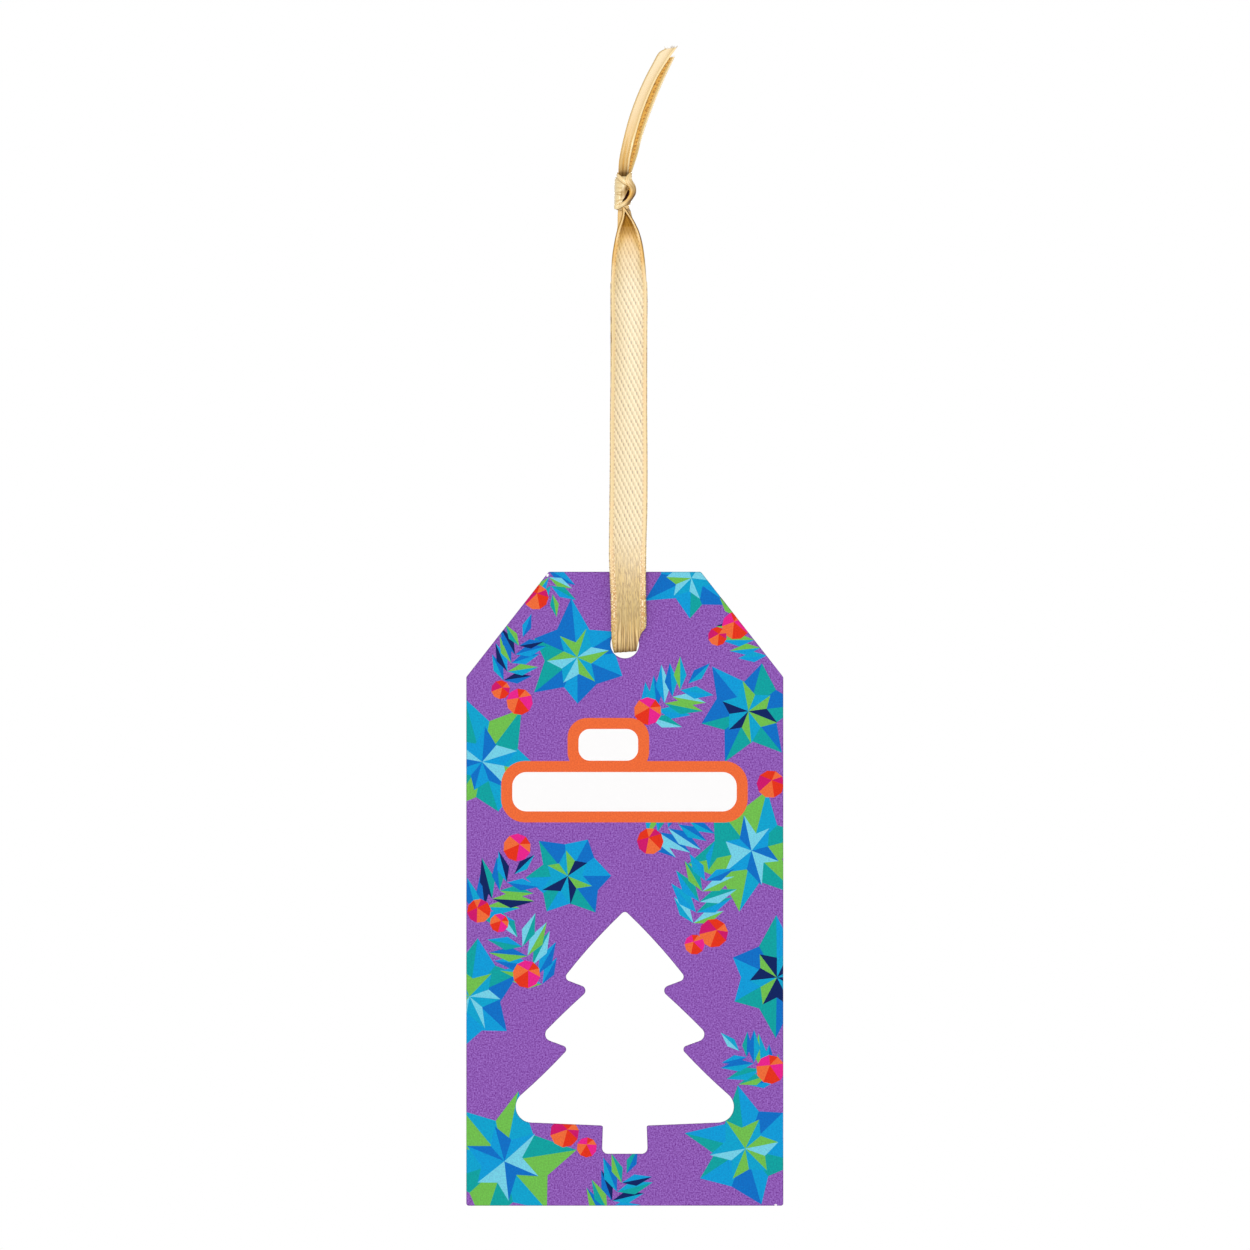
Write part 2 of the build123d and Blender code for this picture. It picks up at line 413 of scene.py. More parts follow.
def fading(tree, value, full, none):
    """1 where a value is up to full, easing to 0 where it reaches none."""
    node = tree.nodes.new("ShaderNodeMapRange")
    node.interpolation_type = "SMOOTHSTEP"
    set_up(node, {"From Min": full, "From Max": none, "To Min": 1, "To Max": 0})
    tree.links.new(value, node.inputs["Value"])
    return node.outputs["Result"]


def tinted(tree, mask, share, below, colour):
    """A colour laid over another, or over a socket, by a mask times a share."""
    node = tree.nodes.new("ShaderNodeMix")
    node.data_type = "RGBA"
    node.blend_type = "MIX"
    tree.links.new(calculate(tree, "MULTIPLY", mask, share), node.inputs["Factor"])
    for slot, value in ((node.inputs[6], below), (node.inputs[7], colour)):
        if isinstance(value, bpy.types.NodeSocket):
            tree.links.new(value, slot)
        else:
            slot.default_value = (*value, 1)
    return node.outputs[2]


def attribute(tree, name):
    """What a node reads from an attribute of the mesh."""
    node = tree.nodes.new("ShaderNodeAttribute")
    node.attribute_name = name
    return node.outputs


def bumped(tree, shader, height, strength, distance):
    """Lets a height show as relief on a material, to a depth in millimetres."""
    bump = set_up(tree.nodes.new("ShaderNodeBump"), {"Strength": strength, "Distance": distance * MM})
    tree.links.new(height, bump.inputs["Height"])
    tree.links.new(bump.outputs["Normal"], shader.inputs["Normal"])


def new_group(name, kind, inputs, outputs):
    """A node group with sockets of (name, type); gives the group, its way in and its way out."""
    group = bpy.data.node_groups.new(name, f"{kind}NodeTree")
    for way, sockets in (("INPUT", inputs), ("OUTPUT", outputs)):
        for socket, holds in sockets:
            group.interface.new_socket(socket, in_out=way, socket_type=f"NodeSocket{holds}")
    return group, group.nodes.new("NodeGroupInput"), group.nodes.new("NodeGroupOutput")


def grouped(tree, group, values):
    """A shader group placed in a material with its own values; gives its outputs."""
    node = tree.nodes.new("ShaderNodeGroup")
    node.node_tree = group
    return set_up(node, values).outputs


def mottling(name, noises):
    """Shader group: noises on the piece itself, from rows of (name, detail), each with its own scale."""
    scales = [(f"{noise} per metre", "Float") for noise, _ in noises]
    group, entry, leave = new_group(name, "Shader", scales, [(noise, "Float") for noise, _ in noises])
    place = group.nodes.new("ShaderNodeTexCoord")
    for result, detail in noises:
        noise = set_up(group.nodes.new("ShaderNodeTexNoise"), {"Detail": detail})
        group.links.new(place.outputs["Object"], noise.inputs["Vector"])
        group.links.new(entry.outputs[f"{result} per metre"], noise.inputs["Scale"])
        group.links.new(noise.outputs["Fac"], leave.inputs[result])
    return group


GRAIN = Vector((2.0, 3.6, 1.9))
FIBRE_RELIEF = 0.35
BOARD_ROUGHNESS, FIBRE_ROUGHNESS = 0.58, 0.24
paper_fibre = mottling("paper_fibre", (("Speckle", 2.0), ("Fibre", 4.0)))


def board(name, speckles, fibres, depth, shine):
    """A board material with its fibres in relief; gives it, its tree, its shader and its mottling."""
    material, tree, shader = new_material(name)
    set_up(shader, {"Specular IOR Level": shine})
    fibre = grouped(tree, paper_fibre, {"Speckle per metre": speckles, "Fibre per metre": fibres})
    bumped(tree, shader, fibre["Fibre"], FIBRE_RELIEF, depth)
    uneven = calculate(tree, "MULTIPLY", fibre["Fibre"], FIBRE_ROUGHNESS)
    tree.links.new(calculate(tree, "ADD", uneven, BOARD_ROUGHNESS), shader.inputs["Roughness"])
    return material, tree, shader, fibre


printed, tree, shader, fibre = board("printed_board", speckles=4200, fibres=9000, depth=0.01, shine=0.1)
ink = attribute(tree, "ink")
even = Vector((1, 1, 1)) - GRAIN / 2
grain = calculate(tree, "MULTIPLY_ADD", fibre["Speckle"], GRAIN, even, kind="VectorMath")
speckled = calculate(tree, "MULTIPLY", ink["Color"], grain, kind="VectorMath")
colour = tinted(tree, ink["Alpha"], 1.0, ink["Color"], speckled)
# The print is painted darker in a thin line along every cut: painted edge shade.
near_cut = fading(tree, attribute(tree, "cut")["Fac"], 0.9, 0.2)
colour = tinted(tree, near_cut, 0.35, colour, linear(52, 30, 60))
tree.links.new(colour, shader.inputs["Base Color"])

bare, tree, shader, fibre = board("bare_board", speckles=1800, fibres=6000, depth=0.03, shine=0.3)
colour = tinted(tree, fibre["Fibre"], 1.0, linear(240, 239, 236), linear(226, 224, 218))
tree.links.new(colour, shader.inputs["Base Color"])

card = placed("printed_card", printed_card())
card.data.materials.append(printed)
card.data.materials.append(bare)
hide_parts("tag_card")
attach(card, "tag")

# Ribbon loop: one length of 6 mm satin ribbon, drawn through the hole and brought together under the knot.
# It lies flat along both legs, is gathered in pleats through the hole and folds lengthwise into the knot.
# An edge row is (drop below the loop's top, left edge, right edge), and most other rows are (drop, value).
RIBBON_WIDTH = 6.0
RIBBON_THICKNESS = 0.2
LOOP_ROUTE = (
    (-0.1, -0.2, 0.7),
    (0.1, -0.2, -1.0),
    (0.55, -0.5, -4.0),
    (0.55, -0.9, -8.0),
    (0.58, -1.4, -14.0),
    (0.58, -2.0, -26.0),
    (0.5, -2.2, -42.0),
    (0.4, -2.3, -54.0),
    (0.5, -2.1, -58.5),
    (0.55, -1.6, -62.5),
    (0.3, -1.1, -66.2),
    (0.0, -0.75, -69.3),
    (0.0, 0.75, -69.3),
    (0.3, 1.1, -66.2),
    (0.55, 1.7, -61.0),
    (0.4, 2.2, -54.0),
    (0.5, 2.3, -42.0),
    (0.58, 2.3, -26.0),
    (0.58, 2.2, -14.0),
    (0.5, 2.0, -8.0),
    (0.1, 1.6, -3.0),
    (-0.1, 1.5, 0.7),
)
FRONT_EDGES = (
    (-0.7, -0.5, 0.05),
    (0.0, -0.4, 0.52),
    (1.2, -0.6, 1.3),
    (2.0, -0.88, 1.72),
    (3.15, -1.28, 2.26),
    (5.1, -1.7, 2.8),
    (6.9, -1.98, 3.08),
    (8.8, -2.12, 3.28),
    (12.6, -2.16, 3.5),
    (20.0, -2.08, 3.47),
    (31.5, -2.26, 3.46),
    (40.0, -2.3, 3.52),
    (47.0, -2.38, 3.48),
    (54.0, -2.44, 3.28),
    (57.5, -2.32, 3.26),
    (60.0, -2.2, 3.26),
    (65.4, -2.1, 3.28),
    (66.4, -2.1, 2.66),
    (67.6, -2.04, 2.2),
    (68.6, -1.9, 1.98),
    (69.3, -1.68, 1.84),
)
BACK_EDGES = (
    (-0.7, -1.05, 0.65),
    (0.0, -1.12, 1.08),
    (0.9, -1.12, 1.28),
    (2.0, -1.02, 1.7),
    (3.15, -1.06, 2.15),
    (5.1, -1.58, 2.7),
    (6.9, -2.0, 3.0),
    (8.8, -2.14, 3.2),
    (12.6, -2.2, 3.4),
    (60.0, -2.1, 3.25),
    (65.0, -2.0, 2.9),
    (67.5, -1.9, 2.1),
    (69.3, -1.68, 1.84),
)


def between_rows(rows, place):
    """The value at a place in rows of (place, value), eased from row to row."""
    if place <= rows[0][0]:
        return rows[0][1]
    for (start, first), (end, second) in zip(rows, rows[1:]):
        if place <= end:
            share = (place - start) / (end - start)
            return first + (second - first) * share * share * (3 - 2 * share)
    return rows[-1][1]


def curved_rows(rows, place):
    """The value at a place on a smooth curve through rows of (place, value)."""
    if place <= rows[0][0]:
        return rows[0][1]
    for k, ((start, first), (end, second)) in enumerate(zip(rows, rows[1:])):
        if place <= end:
            before, after = rows[max(k - 1, 0)], rows[min(k + 2, len(rows) - 1)]
            span = end - start
            rise = span * (second - before[1]) / (end - before[0])
            fall = span * (after[1] - first) / (after[0] - start)
            share = (place - start) / span
            bow = (1 - share) * rise - share * fall + (2 * share - 1) * (second - first)
            return first + (second - first) * share + share * (1 - share) * bow
    return rows[-1][1]


def lengths_along(points):
    """How far along a line each of its points lies."""
    reached = [0.0]
    for a, b in zip(points, points[1:]):
        reached.append(reached[-1] + (b - a).length)
    return reached


def even_points(points, count):
    """The same line as a number of points at even steps along it."""
    reached = lengths_along(points)
    evened, leg = [], 0
    for k in range(count):
        target = reached[-1] * k / (count - 1)
        while leg < len(points) - 2 and reached[leg + 1] < target:
            leg += 1
        span = reached[leg + 1] - reached[leg]
        evened.append(points[leg].lerp(points[leg + 1], (target - reached[leg]) / span if span else 0))
    return evened


def line_through(route, step):
    """Points at even steps along a smooth spline with these control points, all in millimetres."""
    curve = bpy.data.curves.new("guide", "CURVE")
    curve.dimensions = "3D"
    spline = curve.splines.new("NURBS")
    spline.points.add(len(route) - 1)
    for point, place in zip(spline.points, route):
        point.co = (*place, 1)
    spline.order_u = 3
    spline.use_endpoint_u = True
    spline.resolution_u = 24
    guide = bpy.data.objects.new("guide", curve)
    mesh = bpy.data.meshes.new_from_object(guide)
    points = [vertex.co.copy() for vertex in mesh.vertices]
    bpy.data.objects.remove(guide)
    bpy.data.curves.remove(curve)
    bpy.data.meshes.remove(mesh)
    return even_points(points, round(lengths_along(points)[-1] / step) + 1)


CUP_TRIES, TRY_POINTS, CUP_POINTS = 24, 60, 160
LIP_REACH, WIDEST_LIP, LIP_DIP = 0.85, 0.42, 0.04
NECK_POWER, NECK_POINTS = 3.6, 80


def cupped(width, depth, power, count):
    """A ribbon's cross-section as (across, depth), cupped so that its edges stand forward."""
    shares = [2 * k / (count - 1) - 1 for k in range(count)]
    return [Vector((width / 2 * share, depth * abs(share) ** power)) for share in shares]


def cupped_to_fit(width, cloth, power, count):
    """The cup that takes up a ribbon of this cloth width within this visible width."""
    low, high = 0.0, cloth / 2
    for _ in range(CUP_TRIES):
        depth = (low + high) / 2
        if lengths_along(cupped(width, depth, power, TRY_POINTS))[-1] < cloth:
            low = depth
        else:
            high = depth
    return even_points(cupped(width, depth, power, CUP_POINTS), count)


def lipped(width, cloth, lip, count):
    """A cup whose edges turn out again into two flat lips."""
    reach = min(LIP_REACH * lip, WIDEST_LIP * width)
    inner = cupped_to_fit(width - 2 * reach, cloth - 2 * lip, NECK_POWER, NECK_POINTS)
    rim = inner[0].y - LIP_DIP
    return even_points([Vector((-width / 2, rim)), *inner, Vector((width / 2, rim))], count)


def smoothed(mesh):
    """Turns the faces of a closed mesh outwards and shades them smooth."""
    shell = bmesh.new()
    shell.from_mesh(mesh)
    bmesh.ops.recalc_face_normals(shell, faces=shell.faces)
    shell.to_mesh(mesh)
    shell.free()
    mesh.polygons.foreach_set("use_smooth", [True] * len(mesh.polygons))


EDGE_THINNING = 0.6
DEEP_SHADE = 0.45
SHARP_FOLD = math.radians(50)


def cloth_mesh(name, grid, across, along, thickness, shade):
    """A closed strip of cloth round a grid of middle points, with its weave laid out, all in millimetres.
    shade gives, for a row, column and side, how golden, how dark and how pale the cloth is painted there:
    painted warm shade, painted shadow and painted highlight, held in its depth attribute."""
    rows, columns = len(grid), len(grid[0])
    skins, shades = [[], []], [[], []]
    for i in range(rows):
        for j in range(columns):
            lengthways = grid[min(i + 1, rows - 1)][j] - grid[max(i - 1, 0)][j]
            sideways = grid[i][min(j + 1, columns - 1)] - grid[i][max(j - 1, 0)]
            normal = lengthways.cross(sideways).normalized()
            edge = EDGE_THINNING if j in (0, columns - 1) else 1.0
            for side, away in ((0, 0.5), (1, -0.5)):
                skins[side].append((grid[i][j] + normal * away * edge * thickness) * MM)
                shades[side].append(shade(i, j, side))
    count = rows * columns

    def at(i, j, side):
        """The number of the corner at a row, a column and a side."""
        return side * count + i * columns + j

    faces = []
    for i in range(rows - 1):
        for j in range(columns - 1):
            faces.append((at(i, j, 0), at(i, j + 1, 0), at(i + 1, j + 1, 0), at(i + 1, j, 0)))
            faces.append((at(i, j, 1), at(i + 1, j, 1), at(i + 1, j + 1, 1), at(i, j + 1, 1)))
        for j in (0, columns - 1):
            faces.append((at(i, j, 0), at(i + 1, j, 0), at(i + 1, j, 1), at(i, j, 1)))
    for i in (0, rows - 1):
        for j in range(columns - 1):
            faces.append((at(i, j, 0), at(i, j, 1), at(i, j + 1, 1), at(i, j + 1, 0)))
    mesh = bpy.data.meshes.new(name)
    mesh.from_pydata(skins[0] + skins[1], [], faces)
    depth = mesh.attributes.new("depth", "FLOAT_VECTOR", "POINT")
    depth.data.foreach_set("vector", [value for point in shades[0] + shades[1] for value in point])
    weave = mesh.uv_layers.new(name="weave")
    for loop in mesh.loops:
        i, j = divmod(loop.vertex_index % count, columns)
        weave.data[loop.index].uv = (across[i][j], along[i])
    smoothed(mesh)
    # Faces painted deep in shadow take the second material, which shines less.
    for polygon in mesh.polygons:
        darkness = [mesh.attributes["depth"].data[k].vector.y for k in polygon.vertices]
        polygon.material_index = 1 if min(darkness) > DEEP_SHADE else 0
    mesh.set_sharp_from_angle(angle=SHARP_FOLD)
    return mesh


ACROSS = 36
LOOP_STEP = 0.3
SLACK = 0.02
FRONT_CLOTH = ((0.0, 4.2), (3.0, 4.4), (5.0, 4.9), (9.0, 5.7), (13.0, RIBBON_WIDTH))
BACK_CLOTH = ((0.0, 2.0), (2.0, 2.7), (4.0, 4.0), (12.0, RIBBON_WIDTH))
BACK_HOLLOW = ((0.0, 0.3), (4.0, 0.55), (12.0, 0.5), (20.0, 1.0))
LIP = ((1.0, 0.36), (4.0, 0.5))
LIP_SHARE = ((6.0, 1.0), (8.0, 0.85), (12.0, 0.15), (14.0, 0.0))
CUP = ((5.0, 1.0), (9.0, 0.6), (14.0, 0.25), (56.0, 0.2), (62.0, 0.0))
PLEATS = ((60.0, 0.0), (63.0, 0.025), (66.0, 0.07), (67.8, 0.085), (69.3, 0.02))
CREASES = (0.0, 0.5, 0.9, 1.45, 1.85, 2.4, 2.8, 3.4, 3.8, 4.35, 4.75, 5.3, 5.65, 6.0)
GATHER_LEFT, GATHER_RIGHT = -2.16, 3.28
GATHERING = ((58.0, 0.0), (61.0, 1.0))
TILT = ((63.0, 0.0), (69.3, 0.07))
# Rows of painted shade: warm painted shade and painted shadow deep in the neck and up its walls, painted
# shadow at the bottom of the fold in the hole, the back leg painted paler beside the knot, painted shadow and
# gold on the neck's rims, paler and more golden lips, and painted shade and highlight on the pleats.
NECK_GOLD = ((2.0, 1.0), (3.2, 0.65), (5.5, 0.28), (8.0, 0.12), (12.0, 0.0))
NECK_DARK = ((1.0, 0.46), (1.9, 0.55), (2.5, 0.42), (4.5, 0.0))
NECK_WALL = ((3.0, 0.75), (5.5, 0.45), (8.0, 0.1), (11.0, 0.0))
HOLE_DARK = ((67.4, 0.0), (68.5, 0.2), (69.2, 0.55))
BACK_PALE, BACK_GOLD, INNER_PALE = ((3.0, 1.0), (6.0, 0.0)), 0.12, 0.3
RIM_COLUMNS, RIM_END = 1, 10.0
RIM_GOLD = ((6.0, 0.8), (9.5, 0.1))
LEFT_DARK = ((4.0, 0.4), (7.0, 0.2), (9.5, 0.0))
RIGHT_DARK = ((4.0, 0.75), (7.0, 0.3), (9.5, 0.0))
LIP_COLUMNS, LIP_END = 4, 60.0
LIP_GOLD = ((4.0, 0.45), (5.5, 0.75), (7.5, 0.7), (9.0, 0.35), (11.0, 0.1))
LIP_PALE = ((5.0, 1.0), (12.0, 0.3))
WALL_STEEP = ((0.4, 0.0), (0.8, 1.0))
FOLD_SHADE, FOLD_DARK, FOLD_PALE = ((62.0, 0.0), (66.5, 1.0)), 0.12, 0.15


def creased(place):
    """The rise of the uneven pleats through the hole, at a place across the ribbon."""
    for number, (start, end) in enumerate(zip(CREASES, CREASES[1:])):
        if place <= end:
            return math.sin(math.pi * (place - start) / (end - start)) * (1 if number % 2 else -1)
    return 0.0


loop_line = line_through(LOOP_ROUTE, LOOP_STEP)
reached = lengths_along(loop_line)
grid, spread, folded = [], [], []
for i, point in enumerate(loop_line):
    ahead = loop_line[min(i + 1, len(loop_line) - 1)]
    behind = loop_line[max(i - 1, 0)]
    outward = (ahead - behind).cross(Vector((1, 0, 0))).normalized()
    front = i < len(loop_line) / 2
    drop = -point.z
    edges = FRONT_EDGES if front else BACK_EDGES
    left = curved_rows([(row[0], row[1]) for row in edges], drop)
    right = curved_rows([(row[0], row[2]) for row in edges], drop)
    cloth = between_rows(FRONT_CLOTH if front else BACK_CLOTH, drop)
    width = min(right - left, cloth - SLACK)
    # Each row keeps its painted shade: how golden, how dark, how golden up the walls and how pale.
    dark = between_rows(HOLE_DARK, drop)
    if front:
        open_cup = cupped_to_fit(width, cloth, 2, ACROSS + 1)
        share = between_rows(LIP_SHARE, drop)
        turned_out = lipped(width, cloth, between_rows(LIP, drop), ACROSS + 1) if share else open_cup
        section = [a.lerp(b, share) for a, b in zip(open_cup, turned_out)]
        dark += between_rows(NECK_DARK, drop)
        folded.append((between_rows(NECK_GOLD, drop), dark, between_rows(NECK_WALL, drop), 0.0))
    else:
        section = cupped(width, between_rows(BACK_HOLLOW, drop), 2, ACROSS + 1)
        pale = between_rows(BACK_PALE, drop)
        folded.append((BACK_GOLD * pale, dark, 0.0, pale))
    cup = between_rows(CUP, drop) * (1 if front else -1)
    pleat = between_rows(PLEATS, drop)
    straight = between_rows(GATHERING, drop)
    tilt = between_rows(TILT, drop)
    row, places = [], []
    for j, (offset, depth) in enumerate(section):
        x = (left + right) / 2 + offset
        even = RIBBON_WIDTH * j / ACROSS
        hung = RIBBON_WIDTH * (x - GATHER_LEFT) / (GATHER_RIGHT - GATHER_LEFT)
        places.append(even + (hung - even) * straight)
        lift = cup * depth + pleat * creased(places[-1])
        row.append(Vector((x, point.y, point.z + tilt * x)) + outward * lift)
    grid.append(row)
    spread.append(places)


def loop_shade(i, j, side):
    """The painted shade of the loop's cloth: deep in the neck between its two lips and up the walls beside
    them, with painted shadow on the rims, paler lips, and painted shade and highlight on the pleats through
    the hole.
    """
    gold, dark, wall, pale = folded[i]
    pale *= 1.0 if side else INNER_PALE
    drop = -loop_line[i].z
    from_side = min(j, ACROSS - j)
    if from_side <= RIM_COLUMNS and drop < RIM_END and not pale:
        rim_dark = LEFT_DARK if j <= RIM_COLUMNS else RIGHT_DARK
        return between_rows(RIM_GOLD, drop), between_rows(rim_dark, drop), 0.0
    if from_side <= LIP_COLUMNS and drop < LIP_END:
        return between_rows(LIP_GOLD, drop), 0.0, max(between_rows(LIP_PALE, drop), pale)
    steep = between_rows(WALL_STEEP, abs(2 * j / ACROSS - 1))
    fold = creased(spread[i][j]) * between_rows(FOLD_SHADE, drop)
    return max(gold, wall * steep), dark + FOLD_DARK * max(0.0, -fold), pale + FOLD_PALE * max(0.0, fold)


satin_weave, entry, leave = new_group(
    "satin_weave",
    "Shader",
    (("Ribbon width", "Float"), ("Fold place", "Float")),
    (("Colour", "Color"), ("Roughness", "Float"), ("Coat", "Float"), ("Relief", "Float")),
)
weave = satin_weave.nodes.new("ShaderNodeUVMap")
weave.uv_map = "weave"


def times(*values):
    """The product of sockets and numbers on the satin."""
    return reduce(lambda a, b: calculate(satin_weave, "MULTIPLY", a, b), values)


def plus(*values):
    """The sum of sockets and numbers on the satin."""
    return reduce(lambda a, b: calculate(satin_weave, "ADD", a, b), values)


def less(value, taken):
    """A value on the satin with another taken off it."""
    return calculate(satin_weave, "SUBTRACT", value, taken)


def apart(value, other):
    """How far a value on the satin is from another."""
    return calculate(satin_weave, "ABSOLUTE", less(value, other))


def repeats(operation, value, pitch):
    """FLOOR gives the number of the repeat that a value on the satin is in, and FRACT the share of it."""
    return calculate(satin_weave, operation, calculate(satin_weave, "DIVIDE", value, pitch))


def eased(value, full, none):
    """1 where a value on the satin is up to full, easing to 0 where it reaches none."""
    return fading(satin_weave, value, full, none)


def marks(value, pitch, full, none):
    """Marks at an even pitch along a value on the satin, eased away from their middles."""
    return eased(times(apart(repeats("FRACT", value, pitch), 0.5), pitch), full, none)


def parted(vector):
    """The three numbers of a vector on the satin."""
    node = satin_weave.nodes.new("ShaderNodeSeparateXYZ")
    satin_weave.links.new(vector, node.inputs["Vector"])
    return node.outputs


def cloth_noise(across, along, detail=1.0):
    """Noise on the weave, at so many waves to the millimetre across and along."""
    lay = set_up(satin_weave.nodes.new("ShaderNodeMapping"), {"Scale": (across, along, 1.0)})
    satin_weave.links.new(weave.outputs["UV"], lay.inputs["Vector"])
    noise = set_up(satin_weave.nodes.new("ShaderNodeTexNoise"), {"Scale": 1.0, "Detail": detail})
    satin_weave.links.new(lay.outputs["Vector"], noise.inputs["Vector"])
    return noise.outputs["Fac"]


ROW, ROW_SLANT = 0.62, 0.2
PITCH, FLOAT_SHIFT = 0.765, 0.4
LEAST_DASH = 0.7
STITCH_INSET, STITCH_PITCH = 0.68, 0.64
BRAID_PITCH, BRAID_SLANT = 0.37, 0.9
PLY, TWIST, WANDER = 0.36, 0.74, 3.0
LINE_PITCH, LINE_WAVER = 0.5, 1.2
SATIN_ROUGHNESS, HIDDEN_ROUGHNESS = 0.39, 0.45

u, v, _ = parted(weave.outputs["UV"])
# The depth attribute holds painted warm shade, painted shadow and painted highlight.
gold, dark, pale = parted(attribute(satin_weave, "depth")["Vector"])
from_edge = calculate(satin_weave, "MINIMUM", u, less(entry.outputs["Ribbon width"], u))
from_fold = apart(v, entry.outputs["Fold place"])
selvedge = eased(from_edge, 0.56, 0.74)
gathered = eased(from_fold, 2.5, 8.0)
# Towards the fold in the hole the ribbon is painted darker and warmer: painted shade.
lower = eased(from_fold, 11.0, 20.0)
flecked = times(lower, less(1, gathered))
near_hole_shade = times(eased(from_fold, 6.5, 11.0), less(1, gathered))
woven = less(1, times(eased(from_fold, 12.5, 19.0), 0.9))

row = repeats("FLOOR", v, ROW)
slant = times(less(v, times(row, ROW)), ROW_SLANT)
stepped = less(u, plus(times(row, ROW / 2), slant))
uneven = plus(eased(cloth_noise(1.3, 0.9), 0.35, 0.65), LEAST_DASH)
uneven = calculate(satin_weave, "DIVIDE", uneven, 1 + LEAST_DASH)
dash = times(marks(stepped, PITCH, 0.03, 0.11), marks(v, ROW, 0.18, 0.32), less(1, selvedge), woven, uneven)
float_thread = times(marks(plus(stepped, FLOAT_SHIFT * PITCH), PITCH, 0.05, 0.17), woven)

stitch = times(eased(apart(from_edge, STITCH_INSET), 0.02, 0.12), marks(v, STITCH_PITCH, 0.05, 0.18))
braid = times(marks(plus(v, times(from_edge, BRAID_SLANT)), BRAID_PITCH, 0.02, 0.12), selvedge)
# A dark line along the very edge: painted edge shade.
outer = times(eased(from_edge, 0.05, 0.16), marks(v, TWIST, 0.12, 0.6))
blotches = times(eased(cloth_noise(0.6, 0.5, detail=2.0), 0.38, 0.52), selvedge)
plaited = plus(v, times(repeats("FLOOR", from_edge, PLY), TWIST / 2), times(cloth_noise(0.8, 0.7), WANDER))
braided = times(eased(from_edge, 0.8, 1.0), lower, less(1, times(gathered, 0.7)))
twist = times(marks(plaited, TWIST, 0.04, 0.2), braided)
knuckle = times(marks(plus(plaited, TWIST / 2), TWIST, 0.04, 0.2), braided, marks(from_edge, PLY, 0.08, 0.18))

streaks = cloth_noise(9.0, 0.7, detail=3.0)
# Fine crinkles towards the fold: painted shade in dark strokes and flecks, painted highlights in light glints
# and sparks.
strokes = times(eased(cloth_noise(7.0, 0.35), 0.42, 0.5), lower)
glints = times(eased(cloth_noise(7.4, 0.25), 0.42, 0.5), lower)
flecks = times(eased(cloth_noise(5.6, 1.0), 0.4, 0.48), flecked)
sparks = times(eased(cloth_noise(6.2, 0.9), 0.4, 0.48), flecked)
# Lines along the pleats at the fold: painted shade in the dark lines, painted highlights between them.
waver = plus(u, times(cloth_noise(0.9, 0.12), LINE_WAVER))
low = times(eased(from_fold, 1.5, 6.5), eased(selvedge, 0.1, 0.9))
lines = times(marks(waver, LINE_PITCH, 0.03, 0.13), low)
pleat_highlights = times(marks(plus(waver, LINE_PITCH / 2), LINE_PITCH, 0.04, 0.14), low)

face = tinted(satin_weave, streaks, 0.6, linear(184, 158, 92), linear(197, 175, 116))
for mask, share, tint in (
    (cloth_noise(0.5, 0.25), 0.3, (196, 156, 108)),
    # Painted shade and painted highlights of the fine crinkles.
    (strokes, 0.75, (134, 96, 28)),
    (glints, 0.75, (224, 190, 106)),
    (flecks, 0.8, (134, 100, 30)),
    (sparks, 0.6, (232, 202, 120)),
    # Painted shade towards the fold.
    (flecked, 0.08, (130, 110, 30)),
    (near_hole_shade, 0.26, (130, 110, 30)),
    (lower, 0.2, (190, 140, 40)),
    # Painted shade and painted highlights on the pleat lines.
    (lines, 0.8, (130, 92, 36)),
    (pleat_highlights, 0.7, (240, 202, 140)),
    (float_thread, 0.5, (226, 204, 150)),
    (dash, 0.9, (118, 86, 40)),
    (selvedge, 0.8, (194, 164, 74)),
    (blotches, 0.45, (206, 150, 60)),
    (braid, 0.3, (164, 122, 46)),
    (braided, 0.6, (212, 160, 72)),
    (twist, 0.55, (180, 112, 40)),
    (knuckle, 0.8, (252, 236, 196)),
    # Painted highlight and painted warm shade from the depth attribute.
    (pale, 1.0, (242, 218, 164)),
    (gold, 0.9, (230, 168, 48)),
    # The dashes and braid as they show in the painted warm shade.
    (times(dash, gold), 0.6, (150, 90, 30)),
    (times(braid, gold), 0.45, (150, 100, 30)),
    (stitch, 0.7, (156, 92, 30)),
    # Painted edge shade.
    (outer, 0.7, (110, 88, 48)),
    # Painted shadow from the depth attribute.
    (dark, 1.0, (64, 26, 10)),
):
    face = tinted(satin_weave, mask, share, face, linear(*tint))
hidden = calculate(satin_weave, "MINIMUM", plus(gold, dark, times(gathered, 0.5)), 1)
dents = plus(dash, stitch, times(braid, 0.6), lines, times(strokes, 0.5))
satin_weave.links.new(face, leave.inputs["Colour"])
satin_weave.links.new(plus(times(hidden, HIDDEN_ROUGHNESS), SATIN_ROUGHNESS), leave.inputs["Roughness"])
satin_weave.links.new(less(1, hidden), leave.inputs["Coat"])
satin_weave.links.new(less(times(streaks, 0.5), dents), leave.inputs["Relief"])


def satin_finish(name, shine):
    """A material of this satin that shines more or less."""
    material, tree, shader = new_material(name)
    cloth = grouped(tree, satin_weave, {"Ribbon width": RIBBON_WIDTH, "Fold place": reached[-1] / 2})
    for result, slot in (("Colour", "Base Color"), ("Roughness", "Roughness"), ("Coat", "Coat Weight")):
        tree.links.new(cloth[result], shader.inputs[slot])
    set_up(shader, {"Specular IOR Level": shine, "Coat Roughness": SATIN_ROUGHNESS})
    bumped(tree, shader, cloth["Relief"], strength=0.5, distance=0.06)
    return material


